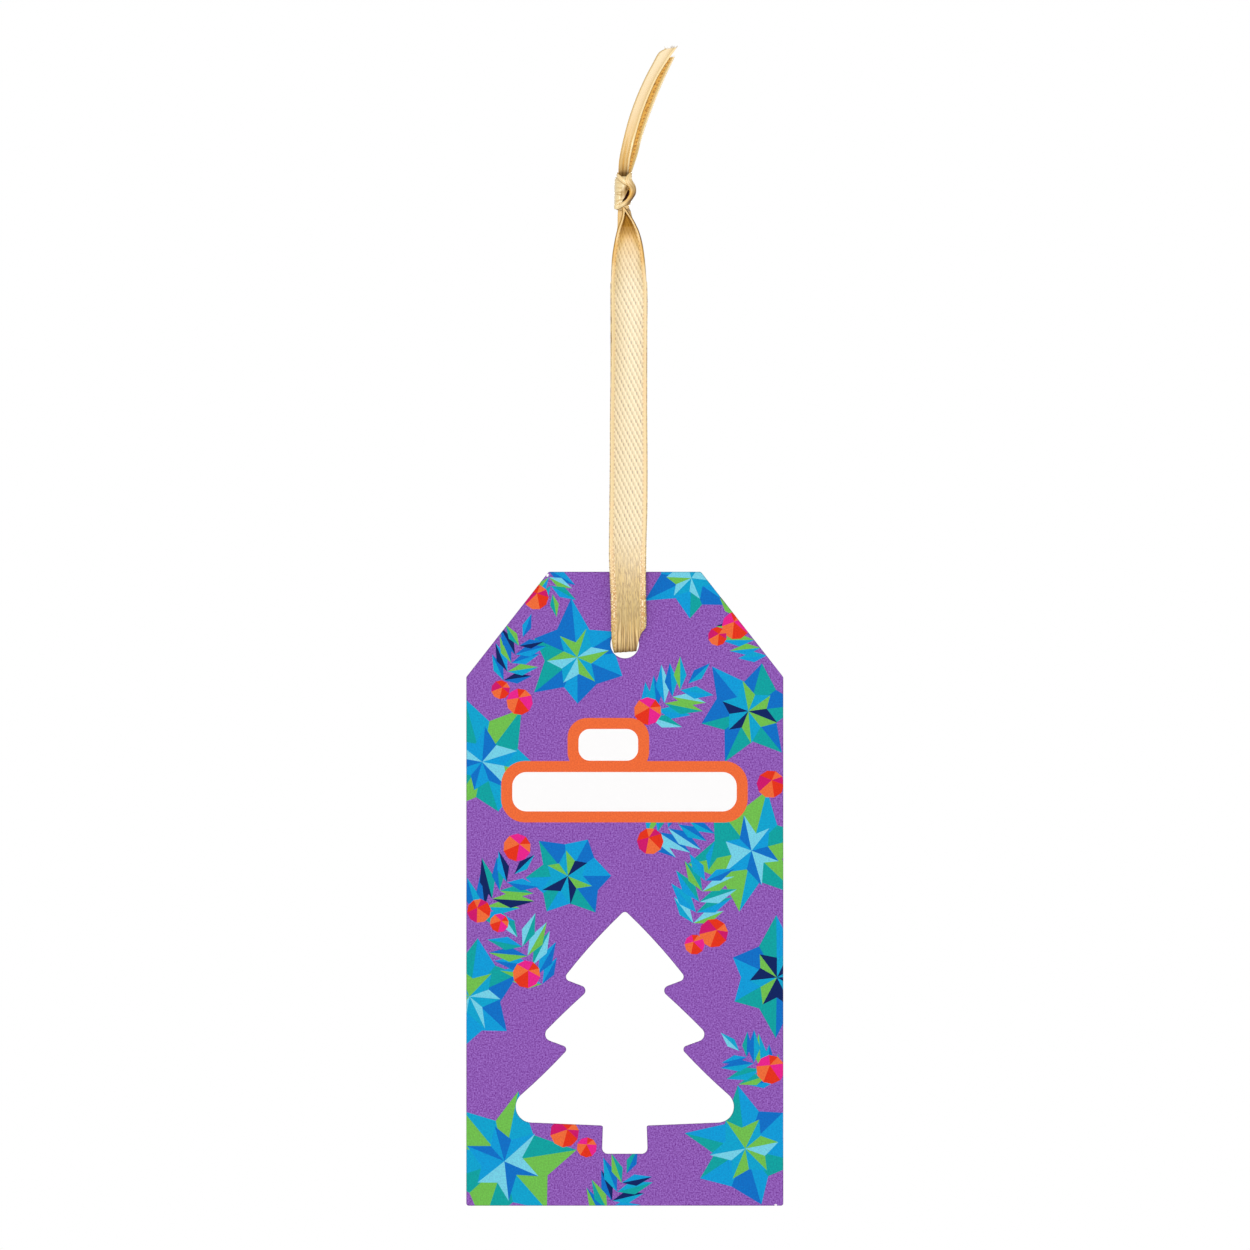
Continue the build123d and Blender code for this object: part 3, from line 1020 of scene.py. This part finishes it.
# The second satin is the same with less shine, for faces painted deep in shadow.
satin = satin_finish("cream_satin", shine=0.7)
shade_satin = satin_finish("shaded_satin", shine=0.15)
loop = placed("satin_loop", cloth_mesh("satin_loop", grid, spread, reached, RIBBON_THICKNESS, loop_shade))
loop.data.materials.append(satin)
loop.data.materials.append(shade_satin)
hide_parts("ribbon_front_leg", "ribbon_back_leg", "ribbon_flex_zone", "ribbon_bight")
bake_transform(loop)

# Selvedge: the weft thread's turns round both edges of the ribbon, which keep it from fraying.
# They stand a little proud of the edge, so it shows as a fine row of loops.
TURN_PITCH, TURN_RADIUS, TURN_SHARE = 0.37, 0.1, 0.46
TURN_START, TURN_END = 11.0, 66.0


def row_tree(name, sizes, spacing, material, smooth):
    """A geometry tree that sets copies of a shape at even steps along lines; gives the tree, its way in and
    the node that takes the shape, its turn and its size."""
    inputs = [("Geometry", "Geometry")] + [(size, "Float") for size in sizes]
    tree, entry, leave = new_group(name, "Geometry", inputs, [("Geometry", "Geometry")])
    kinds = ["MeshToCurve", "ResampleCurve", "InstanceOnPoints", "RealizeInstances", "SetMaterial"]
    if smooth:
        kinds.insert(-1, "SetShadeSmooth")
    source, made = entry.outputs["Geometry"], {}
    for kind in kinds:
        made[kind] = tree.nodes.new(f"GeometryNode{kind}")
        tree.links.new(source, made[kind].inputs[0])
        source = made[kind].outputs[0]
    tree.links.new(source, leave.inputs["Geometry"])
    made["ResampleCurve"].mode = "LENGTH"
    tree.links.new(entry.outputs[spacing], made["ResampleCurve"].inputs["Length"])
    set_up(made["SetMaterial"], {"Material": material})
    return tree, entry, made["InstanceOnPoints"]


def sized(tree, copies, radius, length):
    """Gives the copies in a geometry tree a radius and a length."""
    size = tree.nodes.new("ShaderNodeCombineXYZ")
    for axis, source in zip("XYZ", (radius, radius, length)):
        tree.links.new(source, size.inputs[axis])
    tree.links.new(size.outputs["Vector"], copies.inputs["Scale"])


def grown_on(name, tree, guides, values):
    """The plain mesh that a tree grows on lines of points in millimetres."""
    points, edges = [], []
    for guide in guides:
        first = len(points)
        points += [point * MM for point in guide]
        edges += [(first + k, first + k + 1) for k in range(len(guide) - 1)]
    mesh = bpy.data.meshes.new(name)
    mesh.from_pydata(points, edges, [])
    grown = placed(name, mesh)
    modifier = grown.modifiers.new(name, "NODES")
    modifier.node_group = tree
    for item in tree.interface.items_tree:
        if item.in_out == "INPUT" and item.name in values:
            modifier[item.identifier] = values[item.name] * MM
    result = bpy.data.meshes.new_from_object(grown.evaluated_get(bpy.context.evaluated_depsgraph_get()))
    grown.modifiers.clear()
    grown.data = result
    return grown


thread_lustre = mottling("thread_lustre", (("Lustre", 2.0),))
thread, tree, shader = new_material("edge_thread")
set_up(shader, {"Roughness": 0.5})
lustre = grouped(tree, thread_lustre, {"Lustre per metre": 1700})["Lustre"]
colour = tinted(tree, fading(tree, lustre, 0.4, 0.6), 1.0, linear(232, 204, 136), linear(158, 120, 58))
tree.links.new(colour, shader.inputs["Base Color"])

tree, entry, turns = row_tree("selvedge_turns", ("Pitch", "Radius", "Length"), "Pitch", thread, smooth=True)
turn = set_up(tree.nodes.new("GeometryNodeMeshUVSphere"), {"Segments": 6, "Rings": 4, "Radius": 1.0})
tree.links.new(turn.outputs["Mesh"], turns.inputs["Instance"])
along_edge = tree.nodes.new("GeometryNodeInputTangent")
turned = tree.nodes.new("FunctionNodeAlignRotationToVector")
turned.axis = "Z"
tree.links.new(along_edge.outputs["Tangent"], turned.inputs["Vector"])
tree.links.new(turned.outputs["Rotation"], turns.inputs["Rotation"])
sized(tree, turns, entry.outputs["Radius"], entry.outputs["Length"])

edges = []
for half in (range(len(grid) // 2), range(len(grid) // 2, len(grid))):
    for column in (0, ACROSS):
        edges.append([grid[i][column] for i in half if TURN_START < -loop_line[i].z < TURN_END])
turn_sizes = {"Pitch": TURN_PITCH, "Radius": TURN_RADIUS, "Length": TURN_SHARE * TURN_PITCH}
selvedge_turns = grown_on("selvedge_turns", tree, edges, turn_sizes)
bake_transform(selvedge_turns)

# Knot: an overhand knot tied in both legs of the ribbon at once and pulled tight.
# A broad pleated turn goes round the legs, a collar holds the ends and the last loop crosses in front.
WRAP_ROUTE = (
    (0.85, -1.2, 3.0),
    (1.15, -0.8, 3.0),
    (1.3, 0.0, 3.0),
    (1.25, 1.0, 3.0),
    (0.6, 1.75, 2.9),
    (-0.6, 1.8, 2.9),
    (-1.45, 1.2, 2.8),
    (-1.55, 0.0, 2.8),
    (-1.45, -1.2, 2.8),
    (-0.5, -1.75, 2.8),
    (0.2, -1.65, 2.8),
)
COLLAR_ROUTE = (
    (1.0, 0.9, 5.6),
    (0.0, 1.4, 5.9),
    (-1.05, 1.0, 6.0),
    (-1.2, 0.0, 5.9),
    (-1.1, -1.1, 5.65),
    (-0.55, -1.75, 5.15),
    (0.1, -1.9, 4.65),
    (0.6, -1.7, 4.2),
)
CROSSING_ROUTE = (
    (-0.3, 1.35, 5.7),
    (0.7, 1.15, 6.0),
    (1.05, 0.0, 6.1),
    (0.95, -1.1, 5.9),
    (0.45, -1.75, 5.2),
    (0.82, -1.75, 4.5),
    (1.22, -1.35, 3.95),
    (1.3, -1.2, 3.2),
    (0.98, -1.55, 2.35),
    (0.5, -1.85, 1.72),
    (-0.15, -1.95, 1.25),
    (-0.8, -1.7, 0.88),
    (-1.25, -1.0, 0.75),
    (-1.3, 0.1, 0.8),
    (-0.8, 1.1, 0.8),
    (0.3, 1.5, 0.9),
)
WRAP_CREASES = (
    (4.45, -0.12, 0.12, -0.8),
    (3.75, -0.05, 0.12, -0.65),
    (3.2, 0.1, 0.18, -0.5),
    (2.55, -0.2, 0.16, -0.7),
    (1.95, 0.15, 0.18, -0.55),
    (1.45, -0.1, 0.12, -0.7),
)
WRAP_SIDE = ((0.9, 0.55), (1.5, 0.8), (2.4, 1.05), (4.6, 1.1), (5.6, 0.95))
BACK_FOLDS = ((4.5, 0.4, 0.14), (3.5, 0.55, 0.2), (2.3, 0.45, 0.16), (1.4, 0.3, 0.12))
WRAP_DENTS = (
    (-0.55, 2.7, 0.16, 0.85, 0.17),
    (0.3, 3.7, 0.4, 0.5, 0.3),
    (-0.84, 1.26, 0.12, 0.1, 0.3),
    (-1.15, 1.1, 0.16, 0.07, 0.2),
)
WRAP_SHADE = (0.1, 3.0, 0.5, 0.9)
FOOT_ROUTE = (
    (0.45, 0.4, 1.3),
    (0.45, -0.5, 1.1),
    (0.35, -1.2, 0.9),
    (0.05, -1.45, 0.82),
    (-0.5, -1.3, 0.7),
    (-0.95, -0.5, 0.6),
)
FOLD_ROUTE = ((0.1, -1.2, 4.5), (0.5, -1.25, 4.0), (0.85, -1.1, 3.55), (1.1, -0.8, 3.2))
EDGE_ROUTE = (
    (-0.66, 0.0, 1.2),
    (-0.72, -0.2, 0.3),
    (-0.74, -0.1, -0.8),
    (-0.74, 0.3, -1.8),
    (-0.8, 0.8, -2.8),
    (-1.0, 1.3, -4.0),
)
# The way that the painted shadow side of a strand faces.
LEE_WAY = Vector((0.8, -0.3, -0.55))
CORE_ROUTE = ((0.05, 0.05, 0.5), (0.05, 0, 2.0), (0.05, 0, 4.0), (0.05, 0.05, 5.6))
CREASE_WIDTH, CREASE_END = 0.09, 0.35
CREASE_START = ((-1.55, 0.2), (-1.15, 1.0))
FOLD_WIDTH, BEHIND = 0.15, ((0.2, 0.0), (1.0, 1.0))
COLLAR_MARK = (4.4, -0.68, 0.2, 0.1)
KNOT_MIDDLE = 0.1
KNOT_STEP = 0.12
WRAP_COLUMNS, WRAP_HALF, WRAP_RISE = 44, 2.55, 0.2
WRAP_THICKNESS, WRAP_ROLL = 0.28, 0.22
NEARING, TUCKED = ((0.72, 0.0), (1.0, 1.0)), ((0.06, 1.0), (0.2, 0.0))
SLIT_LEVEL, SLIT_SLOPE, SLIT_GAP = 2.4, 0.5, 0.22
PLAIN_WEAVE, WRAP_SPREAD, STRAND_SPREAD = 2.55, 0.009, 0.028
STRAND_SIDES = 28
STRAND_CREASES = ((1.2, 0.07, 0.16), (2.0, 0.09, 0.14))
FACED_SHADE = 0.6
# Painted shade on the knot: how golden and dark its hollows, creases, dim spots and tucks are painted, and
# how pale the rest is painted as highlight.
HOLLOW_START, HOLLOW_SHADE, CREASE_SHADE = 0.02, 5, 5
WRAP_GOLD, WRAP_PALE, SUNK_UNLIT = 0.5, 0.7, 0.8
SUNK_DARK, DIM_DARK, TUCK_DARK = 0.55, 0.45, 0.38
STRAND_GOLD, STRAND_DARK = 0.6, 0.4


def bent_frame(line, i, facing=None):
    """At a point of a line, the way it faces, or else out from the knot's middle, and the way across."""
    forward = (line[min(i + 1, len(line) - 1)] - line[max(i - 1, 0)]).normalized()
    outward = facing or Vector((line[i].x - KNOT_MIDDLE, line[i].y, 0))
    outward = (outward - forward * outward.dot(forward)).normalized()
    return outward, outward.cross(forward)


def ridge(offset, width):
    """How near the middle of a soft ridge or groove an offset is, from 0 to 1."""
    return math.exp(-((offset / width) ** 2))


def in_spot(place, x, z, wide, tall):
    """How near the middle of a soft spot on the knot a place is, from 0 to 1."""
    return ridge(place.x - x, wide) * ridge(place.z - z, tall)


def wrap_hollow(place, y):
    """How deep the broad turn is hollowed at a place: creases on its left, dents in front, folds behind."""
    hollow = 0.0
    for level, slope, depth, end in WRAP_CREASES:
        fade = between_rows((*CREASE_START, (end, 0.8), (end + CREASE_END, 0.0)), place.x)
        hollow += depth * fade * ridge(place.z - level - slope * place.x, CREASE_WIDTH)
    if y < 0:
        for x, z, wide, tall, depth in WRAP_DENTS:
            hollow += depth * in_spot(place, x, z, wide, tall)
        level, slope, depth, width = COLLAR_MARK
        hollow += depth * ridge(place.z - level - slope * place.x, width)
    for level, slope, depth in BACK_FOLDS:
        deep = depth * between_rows(BEHIND, y)
        hollow += deep * ridge(place.z - level - slope * place.x, FOLD_WIDTH)
    return hollow


def wrapping():
    """The broad turn: a creased sheet, drawn in along a fold down its front and cut off by the slanting slit
    where the last loop crosses. It is painted golden and dark in its hollows, in a dim spot and where it
    tucks under, as painted shade, and pale elsewhere as painted highlight."""
    line = line_through(WRAP_ROUTE, KNOT_STEP)
    rows, shades = [], []
    for i, point in enumerate(line):
        outward, sideways = bent_frame(line, i)
        nearing = between_rows(NEARING, i / (len(line) - 1))
        tucked = between_rows(TUCKED, i / (len(line) - 1))
        row, tints = [], []
        for j in range(WRAP_COLUMNS + 1):
            share = 2 * j / WRAP_COLUMNS - 1
            place = point + sideways * share * WRAP_HALF + Vector((0, 0, WRAP_RISE))
            slant = SLIT_SLOPE * (place.z - SLIT_LEVEL) - SLIT_GAP
            place.x = min(place.x + slant * nearing, between_rows(WRAP_SIDE, place.z))
            hollow = wrap_hollow(place, point.y)
            row.append(place - outward * (WRAP_ROLL * share ** 6 + hollow))
            sunk = min(1.0, max(0.0, HOLLOW_SHADE * (hollow - HOLLOW_START)))
            dim = in_spot(place, *WRAP_SHADE) if point.y < 0 else 0.0
            gold = WRAP_GOLD * max(sunk, dim, tucked)
            dark = SUNK_DARK * sunk ** 2 + max(DIM_DARK * dim, TUCK_DARK * tucked)
            tints.append((gold, dark, WRAP_PALE * (1 - max(SUNK_UNLIT * sunk, dim))))
        rows.append(row)
        shades.append(tints)
    across = [[PLAIN_WEAVE + WRAP_SPREAD * j for j in range(WRAP_COLUMNS + 1)]] * len(rows)
    along = [0.0] * len(rows)
    return cloth_mesh("wrap", rows, across, along, WRAP_THICKNESS, lambda i, j, side: shades[i][j])


def strand(name, route, widths, flatness, golden, lee=((0, 0.0),), facing=None):
    """A bunched turn of the ribbon: a soft flat tube with creases along it, painted more golden and darker
    towards its sides, its inner side and its creases as painted shade, pale on its outer side as painted
    highlight, and darker as painted shadow on the side that lee gives. One that faces a given way gets less
    painted shade."""
    line = line_through(route, KNOT_STEP)
    points, faces, shades = [], [], []
    for i, point in enumerate(line):
        outward, sideways = bent_frame(line, i, facing)
        share = i / (len(line) - 1)
        width = between_rows(widths, share)
        thickness = width * between_rows(flatness, share)
        for k in range(STRAND_SIDES):
            angle = 2 * math.pi * k / STRAND_SIDES
            crease = sum(depth * ridge(angle - middle, wide) for middle, depth, wide in STRAND_CREASES)
            reach = sideways * math.cos(angle) * width / 2 + outward * math.sin(angle) * thickness / 2
            points.append((point + reach * (1 - crease)) * MM)
            sunk = min(1.0, (1 - max(0.0, math.sin(angle))) ** 2 + CREASE_SHADE * crease)
            sunk *= FACED_SHADE if facing else 1.0
            turned = sideways * math.cos(angle) + outward * math.sin(angle)
            shaded = between_rows(lee, share) * max(0.0, turned.dot(LEE_WAY))
            gold = min(1.0, between_rows(golden, share) + STRAND_GOLD * sunk)
            shades += (gold, STRAND_DARK * sunk ** 2 + shaded, 1 - sunk)
            if i:
                before, now, after = (i - 1) * STRAND_SIDES, i * STRAND_SIDES, (k + 1) % STRAND_SIDES
                faces.append((before + k, before + after, now + after, now + k))
    faces.append(list(range(STRAND_SIDES)))
    faces.append([len(points) - 1 - k for k in range(STRAND_SIDES)])
    mesh = bpy.data.meshes.new(name)
    mesh.from_pydata(points, [], faces)
    mesh.attributes.new("depth", "FLOAT_VECTOR", "POINT").data.foreach_set("vector", shades)
    weave = mesh.uv_layers.new(name="weave")
    for loop in mesh.loops:
        from_back = abs(loop.vertex_index % STRAND_SIDES - STRAND_SIDES / 2)
        weave.data[loop.index].uv = (PLAIN_WEAVE + STRAND_SPREAD * from_back, 0.0)
    smoothed(mesh)
    return mesh


def joined(name, meshes):
    """One object made of several meshes."""
    whole = bmesh.new()
    for mesh in meshes:
        whole.from_mesh(mesh)
        bpy.data.meshes.remove(mesh)
    together = bpy.data.meshes.new(name)
    whole.to_mesh(together)
    whole.free()
    return placed(name, together)


# The core: the knot's inner turns in one dark maroon, which shows through its gaps and slit as painted
# shadow.
shadowed_inner_turns, tree, shader = new_material("shadowed_inner_turns")
set_up(shader, {"Roughness": 0.9, "Specular IOR Level": 0.1})
lustre = grouped(tree, thread_lustre, {"Lustre per metre": 1500})["Lustre"]
colour = tinted(tree, lustre, 1.0, linear(44, 14, 8), linear(76, 32, 18))
tree.links.new(colour, shader.inputs["Base Color"])

core = strand("core", CORE_ROUTE, ((0, 0.8), (0.3, 1.4), (0.5, 1.6), (1, 1.4)), ((0, 1.0),), ((0, 0.0),))
core.polygons.foreach_set("material_index", [2] * len(core.polygons))
wrap = wrapping()
collar = strand(
    "collar",
    COLLAR_ROUTE,
    ((0, 0.6), (0.6, 0.8), (0.85, 0.72), (1, 0.4)),
    ((0.3, 0.35), (0.8, 0.5)),
    ((0, 0.12),),
)
crossing = strand(
    "crossing",
    CROSSING_ROUTE,
    ((0, 0.8), (0.25, 0.85), (0.36, 1.15), (0.46, 1.25), (0.54, 0.9), (0.6, 0.7), (0.75, 0.7), (1, 0.9)),
    ((0.25, 0.35), (0.4, 0.65), (0.75, 0.75), (0.85, 0.5)),
    ((0.3, 0.2), (0.42, 0.4), (0.52, 0.8), (0.6, 0.5), (0.68, 0.05)),
    ((0.28, 0.0), (0.35, 0.4), (0.44, 0.6), (0.5, 0.9), (0.58, 0.9), (0.66, 0.2)),
)
edge = strand(
    "edge",
    EDGE_ROUTE,
    ((0, 0.8), (0.5, 0.9), (0.8, 0.9), (1, 0.6)),
    ((0, 0.3),),
    ((0, 0.5),),
    facing=Vector((-0.4, -0.9, 0)),
)
foot = strand("foot", FOOT_ROUTE, ((0, 0.7), (0.4, 0.95), (0.7, 0.8), (1, 0.4)), ((0, 0.55),), ((0, 0.4),))
fold = strand("fold", FOLD_ROUTE, ((0, 0.7), (1, 0.5)), ((0, 0.5),), ((0, 0.9),))
knot = joined("satin_knot", (core, wrap, collar, crossing, edge, foot, fold))
for material in (satin, shade_satin, shadowed_inner_turns):
    knot.data.materials.append(material)
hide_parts("ribbon_knot")
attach(knot, "ribbon_hanger")

# Tails: the two ends above the knot, cut across with scissors and left loose.
# Each curls along its length and the two clasp each other, the back one a little to the right.
# An edge is given as (x, z), and a curl as (share of the width, depth).
FRONT_LEFT = (
    (-0.9, 5.2), (-0.95, 7.24), (-0.62, 9.4), (0.02, 12.2), (0.8, 15.1), (1.95, 18.3),
    (3.35, 21.4), (4.7, 23.9), (5.15, 24.8), (5.6, 25.4), (6.4, 25.7),
)
FRONT_RIGHT = (
    (0.5, 5.2), (0.7, 7.9), (1.05, 9.6), (1.6, 11.9), (2.8, 16.0),
    (3.85, 18.6), (5.1, 21.4), (6.9, 24.2), (8.2, 26.05),
)
BACK_LEFT = (
    (-0.8, 5.2), (-0.7, 7.2), (-0.3, 9.4), (0.4, 12.2), (1.2, 15.1), (2.4, 18.3), (3.7, 21.4), (5.5, 24.4),
)
BACK_RIGHT = (
    (0.65, 5.2), (1.35, 7.2), (2.05, 9.2), (2.55, 11.4), (3.7, 14.8), (5.0, 18.2), (6.35, 21.4), (7.85, 24.5),
)
FRONT_CURL = (
    (0.7, 0.1), (0.2, 0.15), (0.0, -0.1), (0.0, -0.6), (0.0, -0.9),
    (0.01, -0.98), (0.08, -1.0), (0.5, -1.0), (0.85, -0.94), (1.0, -0.84),
)
BACK_CURL = (
    (0.1, 0.0), (0.0, 0.3), (0.2, 0.6), (0.35, 0.3), (0.46, -0.4),
    (0.6, -0.5), (0.82, -0.48), (0.86, -0.56), (0.9, -0.66), (1.0, -0.7),
)
TAIL_ROWS, TAIL_STEP, CURL_STEP = 84, 0.25, 0.02
TAIL_LEAN, TAIL_FOOT = 0.05, 6
TAIL_SWELL = ((5.5, 0.4), (10.0, 1.0))
TAIL_PLEAT = ((5.5, 0.16), (9.0, 0.08), (13.0, 0.0))
# Painted shade and light on the tails: warmer and darker near the knot, golden on the pleat ridges at the
# root, golden and pale inside the curl, a pale right edge on the outer side, and the face a little paler.
TAIL_WARM_SHADE = ((0.9, 0.5), (2.2, 0.45), (6.0, 0.36), (12.0, 0.18), (20.0, 0.1))
TAIL_SHADOW = ((0.9, 0.75), (1.6, 0.3), (2.6, 0.1), (5.0, 0.0))
TAIL_RIDGE = ((2.0, 0.4), (8.0, 0.1), (11.0, 0.0))
INSIDE, INSIDE_EDGE, INSIDE_EDGE_COLUMNS = (1.0, 0.15, 1.0), (0.1, 0.0, 0.3), 4
EDGE_GOLD, EDGE_PALE, EDGE_COLUMNS, TAIL_PALE = 0.1, 1.0, 3, 0.15
PLAIN_SHARE, WOVEN_SHARE, WOVEN_INSET = 15, 0.47, 0.2
across = [RIBBON_WIDTH * j / ACROSS for j in range(ACROSS + 1)]


def tail(name, left, right, curl, inner, woven):
    """A cut end between two edge lines, with the cross-section that curl gives. inner is the side of the
    cloth that lies inside the curl, and a woven tail shows the weave."""
    left_line = even_points(line_through([(x, 0, z) for x, z in left], TAIL_STEP), TAIL_ROWS)
    right_line = even_points(line_through([(x, 0, z) for x, z in right], TAIL_STEP), TAIL_ROWS)
    section = even_points(line_through([(x, y, 0) for x, y in curl], CURL_STEP), ACROSS + 1)
    grid = []
    for a, b in zip(left_line, right_line):
        swell = between_rows(TAIL_SWELL, a.z)
        pleat = between_rows(TAIL_PLEAT, a.z)
        row = []
        for place, width in zip(section, across):
            depth = place.y * swell + pleat * creased(width) + TAIL_LEAN * (a.z - TAIL_FOOT)
            row.append(a.lerp(b, place.x) + Vector((0, depth, 0)))
        grid.append(row)
    along = lengths_along([row[ACROSS // 2] for row in grid])

    def tail_shade(i, j, side):
        """The painted shade of the tail's cloth: golden inside the curl, warmer and darker where it leaves
        the knot, and a pale right edge on its outer side as painted highlight.
        """
        if side == inner:
            return INSIDE if j < ACROSS - INSIDE_EDGE_COLUMNS else INSIDE_EDGE
        shadow = between_rows(TAIL_SHADOW, along[i])
        if j > ACROSS - EDGE_COLUMNS:
            return EDGE_GOLD, shadow, EDGE_PALE
        raised = between_rows(TAIL_RIDGE, along[i]) * max(0.0, creased(across[j]))
        return between_rows(TAIL_WARM_SHADE, along[i]) + raised, shadow, TAIL_PALE

    if woven:
        shown = [RIBBON_WIDTH - WOVEN_INSET - WOVEN_SHARE * (RIBBON_WIDTH - place) for place in across]
        laid = along
    else:
        shown = [PLAIN_WEAVE + place / PLAIN_SHARE for place in across]
        laid = [0.0] * TAIL_ROWS
    end = placed(name, cloth_mesh(name, grid, [shown] * TAIL_ROWS, laid, RIBBON_THICKNESS, tail_shade))
    end.data.materials.append(satin)
    end.data.materials.append(shade_satin)
    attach(end, "ribbon_hanger")
    return end, grid[-1]


front_tail, front_cut = tail("satin_tail_front", FRONT_LEFT, FRONT_RIGHT, FRONT_CURL, inner=0, woven=False)
back_tail, back_cut = tail("satin_tail_back", BACK_LEFT, BACK_RIGHT, BACK_CURL, inner=1, woven=True)
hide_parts("ribbon_front_tail")
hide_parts("ribbon_back_tail")

# Frayed ends: the yarns that come loose along the two scissor cuts.
# They are of the ribbon's own thread, short and uneven, and stand out of the cuts at all angles.
FRAY_SIZES = {"Spacing": 0.17, "Radius": 0.035, "Shortest": 0.1, "Longest": 0.6}
FRAY_TIP = 0.4
LEAST_TILT, MOST_TILT = (-0.3, 0.2, -3.0), (0.3, 0.9, 3.0)
LENGTH_SEED, TILT_SEED = 4, 9

tree, entry, yarns = row_tree("frayed_threads", FRAY_SIZES, "Spacing", thread, smooth=False)
yarn = set_up(tree.nodes.new("GeometryNodeMeshCone"), {"Vertices": 4, "Side Segments": 2, "Depth": 1.0})
set_up(yarn, {"Radius Top": FRAY_TIP, "Radius Bottom": 1.0})
tree.links.new(yarn.outputs["Mesh"], yarns.inputs["Instance"])
reach = set_up(tree.nodes.new("FunctionNodeRandomValue"), {"Seed": LENGTH_SEED})
tree.links.new(entry.outputs["Shortest"], reach.inputs[2])
tree.links.new(entry.outputs["Longest"], reach.inputs[3])
tilt = set_up(tree.nodes.new("FunctionNodeRandomValue"), {"Seed": TILT_SEED})
tilt.data_type = "FLOAT_VECTOR"
tilt.inputs[0].default_value = LEAST_TILT
tilt.inputs[1].default_value = MOST_TILT
tree.links.new(tilt.outputs[0], yarns.inputs["Rotation"])
sized(tree, yarns, entry.outputs["Radius"], reach.outputs[1])
frayed_ends = grown_on("frayed_ends", tree, [front_cut, back_cut], FRAY_SIZES)
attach(frayed_ends, "ribbon_hanger")

# Stage: a pale floor far below, which fades to plain white away from the tag, soft light from the front and
# from behind, and a long lens level with the tag's middle. Sizes in metres.
FLOOR_DROP, FLOOR_RADIUS, FLOOR_SIDES = 0.12, 1.3, 96
FLOOR_NEAR, FLOOR_FAR = 0.15, 0.6
STUDIO_LIGHT = 0.42
CAMERA_DISTANCE = 1.5
FIELD = 0.1972
MIDDLE = Vector((0.00003, 0, -0.0651))

disc = bmesh.new()
level = Matrix.Translation((0, 0, card_low.z - FLOOR_DROP))
bmesh.ops.create_circle(disc, cap_ends=True, segments=FLOOR_SIDES, radius=FLOOR_RADIUS, matrix=level)
floor_mesh = bpy.data.meshes.new("floor")
disc.to_mesh(floor_mesh)
disc.free()
floor = placed("floor", floor_mesh)
pale_floor, tree, shader = new_material("pale_floor")
set_up(shader, {"Base Color": (0.9, 0.9, 0.9, 1), "Roughness": 0.9})
place = tree.nodes.new("ShaderNodeTexCoord")
flat = calculate(tree, "MULTIPLY", place.outputs["Object"], (1, 1, 0), kind="VectorMath")
distance = tree.nodes.new("ShaderNodeVectorMath")
distance.operation = "LENGTH"
tree.links.new(flat, distance.inputs[0])
glow = tree.nodes.new("ShaderNodeEmission")
blend = tree.nodes.new("ShaderNodeMixShader")
tree.links.new(fading(tree, distance.outputs["Value"], FLOOR_NEAR, FLOOR_FAR), blend.inputs["Fac"])
tree.links.new(glow.outputs["Emission"], blend.inputs[1])
tree.links.new(shader.outputs["BSDF"], blend.inputs[2])
tree.links.new(blend.outputs["Shader"], tree.nodes["Material Output"].inputs["Surface"])
floor_mesh.materials.append(pale_floor)

world = bpy.data.worlds.new("studio")
bpy.context.scene.world = world
world.use_nodes = True
tree = world.node_tree
background = set_up(tree.nodes["Background"], {"Color": (1, 1, 1, 1)})
ray = tree.nodes.new("ShaderNodeLightPath").outputs
seen = calculate(tree, "MAXIMUM", ray["Is Camera Ray"], ray["Is Glossy Ray"])
seen = calculate(tree, "MAXIMUM", seen, ray["Is Transmission Ray"])
strength = set_up(tree.nodes.new("ShaderNodeMapRange"), {"To Min": STUDIO_LIGHT, "To Max": 1.0})
tree.links.new(seen, strength.inputs["Value"])
tree.links.new(strength.outputs["Result"], background.inputs["Strength"])


def softbox(name, place, size, watts):
    """A round soft light turned to the tag's middle and not seen itself."""
    lamp = bpy.data.lights.new(name, "AREA")
    lamp.shape = "DISK"
    lamp.size = size
    lamp.energy = watts
    box = placed(name, lamp)
    box.location = place
    box.rotation_euler = (MIDDLE - Vector(place)).to_track_quat("-Z", "Y").to_euler()
    box.visible_camera = False


softbox("front_softbox", (-0.12, -1.8, 0.25), size=0.9, watts=21)
softbox("back_softbox", (0.12, 1.8, 0.25), size=0.9, watts=17)

lens = bpy.data.cameras.new("camera")
lens.lens = lens.sensor_width * CAMERA_DISTANCE / FIELD
lens.clip_end = 20
camera = placed("camera", lens)
camera.location = MIDDLE - Vector((0, CAMERA_DISTANCE, 0))
camera.rotation_euler = (math.radians(90), 0, 0)
bpy.context.scene.camera = camera
bpy.context.scene.view_settings.view_transform = "Standard"
